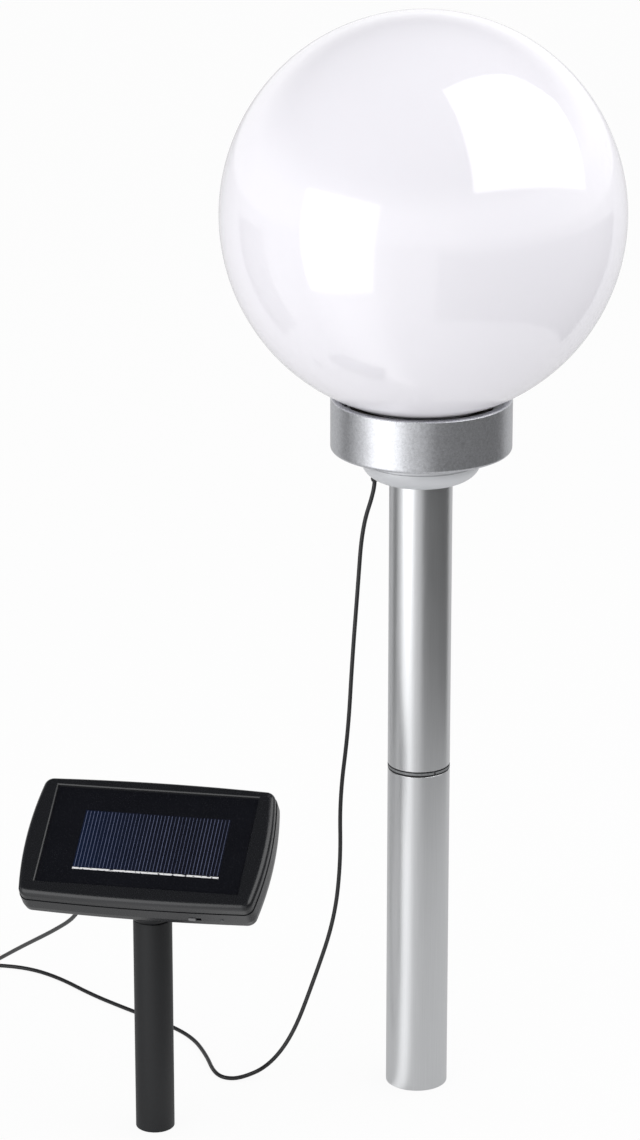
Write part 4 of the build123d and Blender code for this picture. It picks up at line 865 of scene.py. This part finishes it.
def curved_flag(name, bearings, brightness):
    """A flag round the pole, between two bearings."""
    start, end = bearings
    turns = [math.radians(start + (end - start) * k / FLAG_STEPS) for k in range(FLAG_STEPS + 1)]
    corners = [
        (FLAG_REACH * math.sin(turn), -FLAG_REACH * math.cos(turn), z)
        for turn in turns for z in (0.0, FLAG_HEIGHT)
    ]
    faces = [(2 * k, 2 * k + 2, 2 * k + 3, 2 * k + 1) for k in range(FLAG_STEPS)]
    card(name, corners, brightness, faces)


def rays(graph):
    """Whether the camera, a reflection or clear plastic looks."""
    path = graph.add("ShaderNodeLightPath")
    return [path.out("Is " + kind + " Ray") for kind in ("Camera", "Glossy", "Transmission")]


def floor_surface(graph, studio):
    """Pale floor with the object's shadow, nearly white to the camera.

    Reflections see it greyer, apart from a soft glow from the pole towards the softbox.
    """
    lit = graph.add("ShaderNodeBsdfDiffuse", {}, {"Color": (*studio.floor_colour, 1.0)})
    camera, glossy, clear = rays(graph)
    x, y, _ = graph.parts(graph.add("ShaderNodeTexCoord").out("Object"))
    reach = graph.math("SQRT", x * x + y * y) + MM
    towards_softbox = (x * GLOW_WAY[0] + y * GLOW_WAY[1]) / reach
    bright = graph.spread(towards_softbox, *GLOW_EDGE) * studio.floor_glow
    white = glow(graph, 1.0 - glossy * (1.0 - studio.floor_in_metal - bright))
    seen = graph.math("MAXIMUM", camera, clear) * studio.floor_white
    shown = graph.math("MAXIMUM", seen, glossy * FLOOR_EVEN)
    return graph.add("ShaderNodeMixShader", {}, {0: shown, 1: lit, 2: white})


def studio_floor(studio):
    sides = (-FLOOR_REACH, FLOOR_REACH)
    corners = [(x, y, -FLOOR_UNDER) for y in sides for x in sides]
    stage_piece("stage_floor", corners, [(0, 1, 3, 2)], lambda graph: floor_surface(graph, studio))


def studio_world(studio):
    """White to the camera; an even room to the object; white low down and dark overhead in reflections."""
    world = bpy.data.worlds.new("studio")
    bpy.context.scene.world = world
    world.use_nodes = True
    graph = Graph(world.node_tree)
    camera, glossy, clear = rays(graph)
    _, _, height = graph.parts(graph.add("ShaderNodeTexCoord").out("Generated"))
    room = graph.spread(height, *ROOM_EDGE, studio.backdrop, CEILING)
    lit = glossy * room + (1.0 - glossy) * studio.ambient
    shown = graph.math("MAXIMUM", camera, clear)
    strength = shown + (1.0 - shown) * lit
    surface = graph.add("ShaderNodeBackground", {}, {"Color": WHITE, "Strength": strength})
    graph.add("ShaderNodeOutputWorld", {}, {"Surface": surface})


# ----- settings
LEVEL = {"min": 0.0, "max": 10.0}
SHARE = {"min": 0.0, "max": 1.0}
COLOUR = {"subtype": "COLOR", "size": 3, **SHARE}


class GardenLightLook(bpy.types.PropertyGroup):
    """Colours and finishes that a user may change."""

    globe_colour: FloatVectorProperty(
        name="Globe", description="Milky plastic of the globe", default=(0.895, 0.88, 0.935), **COLOUR,
    )
    pole_colour: FloatVectorProperty(
        name="Pole", description="Metal of the pole's tubes", default=(0.71, 0.72, 0.735), **COLOUR,
    )
    pole_roughness: FloatProperty(
        name="Pole roughness", description="How far the pole blurs what it reflects", subtype="FACTOR",
        min=0.05, max=1.0, default=0.33,
    )
    collar_colour: FloatVectorProperty(
        name="Collar", description="Silver paint of the round collar", default=(0.63, 0.64, 0.67), **COLOUR,
    )
    dish_colour: FloatVectorProperty(
        name="Dish", description="Paint of the bowl under the collar", default=(0.59, 0.6, 0.625), **COLOUR,
    )
    housing_colour: FloatVectorProperty(
        name="Housing", description="Moulded plastic of the solar panel's housing",
        default=tone(24, 25, 28), **COLOUR,
    )
    stake_colour: FloatVectorProperty(
        name="Stake", description="Moulded plastic of the panel's stake", default=tone(25, 26, 28), **COLOUR,
    )
    plate_colour: FloatVectorProperty(
        name="Plate", description="Black plate round the solar cell", default=tone(14, 15, 20), **COLOUR,
    )
    cell_colour: FloatVectorProperty(
        name="Cell", description="Coating of the solar cell", default=tone(10, 13, 26), **COLOUR,
    )
    cord_colour: FloatVectorProperty(
        name="Cord", description="Jacket of the cord", default=tone(28, 28, 30), **COLOUR,
    )


class GardenLightSizes(bpy.types.PropertyGroup):
    """Sizes of the pieces that are made here."""

    globe_radius: FloatProperty(
        name="Globe radius", description="Outside radius of the ball", unit="LENGTH",
        min=0.05, max=0.3, default=GLOBE_HIGH.x,
    )
    globe_wall: FloatProperty(
        name="Globe wall", description="Thickness of the globe's plastic", unit="LENGTH",
        min=0.0005, max=0.01, default=2.5 * MM,
    )
    neck_radius: FloatProperty(
        name="Neck radius", description="Outside radius of the globe's neck", unit="LENGTH",
        min=0.01, max=0.1, default=46.0 * MM,
    )
    finger_count: IntProperty(
        name="Fingers", description="Fine silver lines across the cell", min=3, max=120, default=41,
    )
    finger_width: FloatProperty(
        name="Finger width", description="Width of one silver line", unit="LENGTH",
        min=0.0001, max=0.002, default=0.35 * MM,
    )
    busbar_height: FloatProperty(
        name="Busbar", description="Height of the ragged silver bar", unit="LENGTH",
        min=0.0005, max=0.005, default=1.5 * MM,
    )
    screw_radius: FloatProperty(
        name="Screw head", description="Radius of a screw's head", unit="LENGTH",
        min=0.001, max=0.006, default=2.8 * MM,
    )
    rib_count: IntProperty(
        name="Gland ribs", description="Rings round each cord gland", min=2, max=20, default=7,
    )
    ridge_count: IntProperty(
        name="Door ridges", description="Thumb ridges on the battery door", min=2, max=20, default=7,
    )
    cord_diameter: FloatProperty(
        name="Cord", description="Diameter of the cord", unit="LENGTH",
        min=0.001, max=0.01, default=2 * CORD_LOW * MM,
    )


class GardenLightStudio(bpy.types.PropertyGroup):
    """The studio round the object."""

    softbox: FloatProperty(
        name="Softbox", description="Light of the large soft lamp at the front left", default=1.25, **LEVEL,
    )
    softbox_face: FloatProperty(
        name="Softbox in reflections", description="Brightness of that lamp's face in reflections",
        default=2.5, **LEVEL,
    )
    top_lamp: FloatProperty(
        name="Top lamp", description="Light of the soft lamp at the upper right", default=0.95, **LEVEL,
    )
    top_lamp_face: FloatProperty(
        name="Top lamp in reflections", description="Brightness of that lamp's face in reflections",
        default=2.6, **LEVEL,
    )
    ambient: FloatProperty(
        name="Room", description="Even light from all round", min=0.0, max=2.0, default=0.96,
    )
    backdrop: FloatProperty(
        name="Backdrop", description="Brightness of the backdrop in reflections", default=1.0, **SHARE,
    )
    flag: FloatProperty(
        name="Flags", description="Brightness of the dark flags in reflections", default=0.1, **SHARE,
    )
    floor_colour: FloatVectorProperty(
        name="Floor", description="Colour of the floor", default=(0.74, 0.74, 0.74), **COLOUR,
    )
    floor_white: FloatProperty(
        name="Floor white", description="How far the floor is plain white to the camera",
        subtype="FACTOR", default=0.92, **SHARE,
    )
    floor_in_metal: FloatProperty(
        name="Floor in reflections", description="Brightness of the floor in reflections",
        default=0.6, **SHARE,
    )
    floor_glow: FloatProperty(
        name="Softbox on the floor", description="Light of the softbox on the floor in reflections",
        default=0.75, **LEVEL,
    )


# ----- operators
CAMERA_PLACE = (-75.576, -3011.612, 1426.259)  # in millimetres
CAMERA_DOWN = 18.466  # degrees under level


class GARDENLIGHT_OT_camera(bpy.types.Operator):
    """Sets the camera at the photograph's place."""

    bl_idname = "garden_light.camera"
    bl_label = "Camera"

    def execute(self, context):
        data = bpy.data.cameras.new("view")
        data.sensor_width = 36.0
        data.lens = 132.99
        data.clip_start = 0.1
        data.clip_end = 60.0
        camera = add_object("view", data)
        camera.location = Vector(CAMERA_PLACE) * MM
        camera.rotation_euler = (math.radians(90 - CAMERA_DOWN), 0.0, 0.0)
        context.scene.camera = camera
        return {"FINISHED"}


class GARDENLIGHT_OT_cord(bpy.types.Operator):
    """Lays the cord from the lamp, over the ground and a tied coil, to the panel."""

    bl_idname = "garden_light.cord"
    bl_label = "Cord"

    def execute(self, context):
        sizes = context.scene.garden_light_sizes
        route = cord_line(LAMP_ROUTE + coil_points() + PANEL_ROUTE)
        cord = tube_along("cord", route, sizes.cord_diameter / 2, CORD_SIDES)
        cord.data.materials.append(finish("cord"))
        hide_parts("cord_lamp", "cord_coil", "cord_panel")
        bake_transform(cord)
        return {"FINISHED"}


class GARDENLIGHT_OT_finishes(bpy.types.Operator):
    """Gives each carried-over piece its finish."""

    bl_idname = "garden_light.finishes"
    bl_label = "Finishes"

    def execute(self, context):
        for node in frame["nodes"].values():
            for place in node.material_slots:
                place.material = finish(place.material.name)
        return {"FINISHED"}


class GARDENLIGHT_OT_globe(bpy.types.Operator):
    """Turns the opal globe with its neck and lugs."""

    bl_idname = "garden_light.globe"
    bl_label = "Globe"

    def execute(self, context):
        sizes = context.scene.garden_light_sizes
        values = {
            "radius": sizes.globe_radius, "wall": sizes.globe_wall, "neck": sizes.neck_radius,
            "neck_end": GLOBE_LOW.z, "lug_width": 20.0 * MM, "lug_reach": 3.0 * MM,
            "lug_height": 4.0 * MM, "lugs": 3,
        }
        globe = globe_pattern().made(values, "globe", "globe")
        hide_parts("globe")
        return {"FINISHED"}


class GARDENLIGHT_OT_cell_print(bpy.types.Operator):
    """Prints the silver lines and the ragged bar on the solar cell."""

    bl_idname = "garden_light.cell_print"
    bl_label = "Cell print"

    def execute(self, context):
        sizes = context.scene.garden_light_sizes
        values = {
            "width": 113.2 * MM, "height": 51.6 * MM, "count": sizes.finger_count,
            "finger": sizes.finger_width, "busbar": sizes.busbar_height, "rise": 0.08 * MM, "seed": 3,
        }
        piece = print_pattern().made(values, "panel", "silver_print", on_panel(CELL_MIDDLE))
        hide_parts("cell_fingers")
        return {"FINISHED"}


class GARDENLIGHT_OT_screws(bpy.types.Operator):
    """Sets the cross-headed screws in the panel's back and in its battery door."""

    bl_idname = "garden_light.screws"
    bl_label = "Screws"

    def execute(self, context):
        common = {
            "radius": context.scene.garden_light_sizes.screw_radius, "head": 1.8 * MM,
            "shank_radius": 1.35 * MM, "recess": 0.75 * MM,
        }
        housing = {
            **common, "shank": 19.0 * MM, "columns": 2, "rows": 2, "across": 164.6 * MM, "up": 76.0 * MM,
        }
        place = on_panel(HOUSING_SCREWS) @ TURNED_OVER
        piece = screw_pattern("housing_screw_set").made(housing, "panel", "screw", place)
        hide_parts("housing_screws")
        door = {**common, "shank": 8.0 * MM, "columns": 1, "rows": 1, "across": 0.0, "up": 0.0}
        place = on_panel(DOOR_SCREW) @ TURNED_OVER
        piece = screw_pattern("door_screw_set").made(door, "battery_door", "screw", place)
        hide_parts("door_screw")
        return {"FINISHED"}


class GARDENLIGHT_OT_gland_ribs(bpy.types.Operator):
    """Rings both cord glands with ribs."""

    bl_idname = "garden_light.gland_ribs"
    bl_label = "Gland ribs"

    def execute(self, context):
        values = {
            "count": context.scene.garden_light_sizes.rib_count, "root": 3.9 * MM, "tip": 2.5 * MM,
            "length": 15.0 * MM, "rib": 0.45 * MM,
        }
        place = on_panel(PANEL_GLAND_FOOT) @ TURNED_OVER
        rib_pattern("panel_gland_ribs").made(values, "panel", "gland", place)
        values = {"count": 3, "root": 3.3 * MM, "tip": 2.5 * MM, "length": 6.0 * MM, "rib": 0.4 * MM}
        place = Matrix.Translation(LAMP_GLAND + Vector((0.0, 0.0, LAMP_RIBS_OVER_TIP))) @ TURNED_OVER
        rib_pattern("lamp_gland_ribs").made(values, "stand", "gland", place)
        return {"FINISHED"}


class GARDENLIGHT_OT_door_ridges(bpy.types.Operator):
    """Adds the thumb ridges to the battery door."""

    bl_idname = "garden_light.door_ridges"
    bl_label = "Door ridges"

    def execute(self, context):
        values = {
            "count": context.scene.garden_light_sizes.ridge_count, "pitch": 2.2 * MM,
            "length": 14.0 * MM, "radius": 0.6 * MM,
        }
        ridge_pattern().made(values, "battery_door", "housing", on_panel(DOOR_RIDGES))
        return {"FINISHED"}


class GARDENLIGHT_OT_stage(bpy.types.Operator):
    """Sets the floor, the lamps and their faces, the dark flags and the room."""

    bl_idname = "garden_light.stage"
    bl_label = "Stage"

    def execute(self, context):
        studio = context.scene.garden_light_studio
        studio_floor(studio)
        soft_lamp("softbox", studio.softbox, **SOFTBOX)
        soft_lamp("top_lamp", studio.top_lamp, **TOP_LAMP)
        card("softbox_face", SOFTBOX_CORNERS, studio.softbox_face)
        card("top_lamp_face", TOP_LAMP_CORNERS, studio.top_lamp_face)
        curved_flag("stage_flag_right", RIGHT_FLAG, studio.flag)
        curved_flag("stage_flag_left", LEFT_FLAG, studio.flag)
        studio_world(studio)
        context.scene.view_settings.view_transform = "Standard"
        return {"FINISHED"}


class GARDENLIGHT_PT_panel(bpy.types.Panel):
    """Lists the steps and their settings."""

    bl_label = "Garden light"
    bl_idname = "GARDENLIGHT_PT_panel"
    bl_space_type = "VIEW_3D"
    bl_region_type = "UI"
    bl_category = "Garden light"

    def draw(self, context):
        for step in STEPS:
            self.layout.operator(step.bl_idname)
        for group_name in GROUPS:
            group = getattr(context.scene, group_name)
            box = self.layout.box()
            for name in group.__annotations__:
                box.prop(group, name)


GROUPS = {
    "garden_light_look": GardenLightLook,
    "garden_light_sizes": GardenLightSizes,
    "garden_light_studio": GardenLightStudio,
}
STEPS = (
    GARDENLIGHT_OT_camera, GARDENLIGHT_OT_cord, GARDENLIGHT_OT_finishes, GARDENLIGHT_OT_globe,
    GARDENLIGHT_OT_cell_print, GARDENLIGHT_OT_screws, GARDENLIGHT_OT_gland_ribs,
    GARDENLIGHT_OT_door_ridges, GARDENLIGHT_OT_stage,
)
CLASSES = (*GROUPS.values(), *STEPS, GARDENLIGHT_PT_panel)


def register():
    for item in CLASSES:
        bpy.utils.register_class(item)
    for name, group in GROUPS.items():
        setattr(bpy.types.Scene, name, PointerProperty(type=group))


def unregister():
    for name in GROUPS:
        delattr(bpy.types.Scene, name)
    for item in reversed(CLASSES):
        bpy.utils.unregister_class(item)


def main():
    register()
    bpy.ops.garden_light.camera()
    bpy.ops.garden_light.cord()
    bpy.ops.garden_light.finishes()
    bpy.ops.garden_light.globe()
    bpy.ops.garden_light.cell_print()
    bpy.ops.garden_light.screws()
    bpy.ops.garden_light.gland_ribs()
    bpy.ops.garden_light.door_ridges()
    bpy.ops.garden_light.stage()


if __name__ == "__main__":
    main()
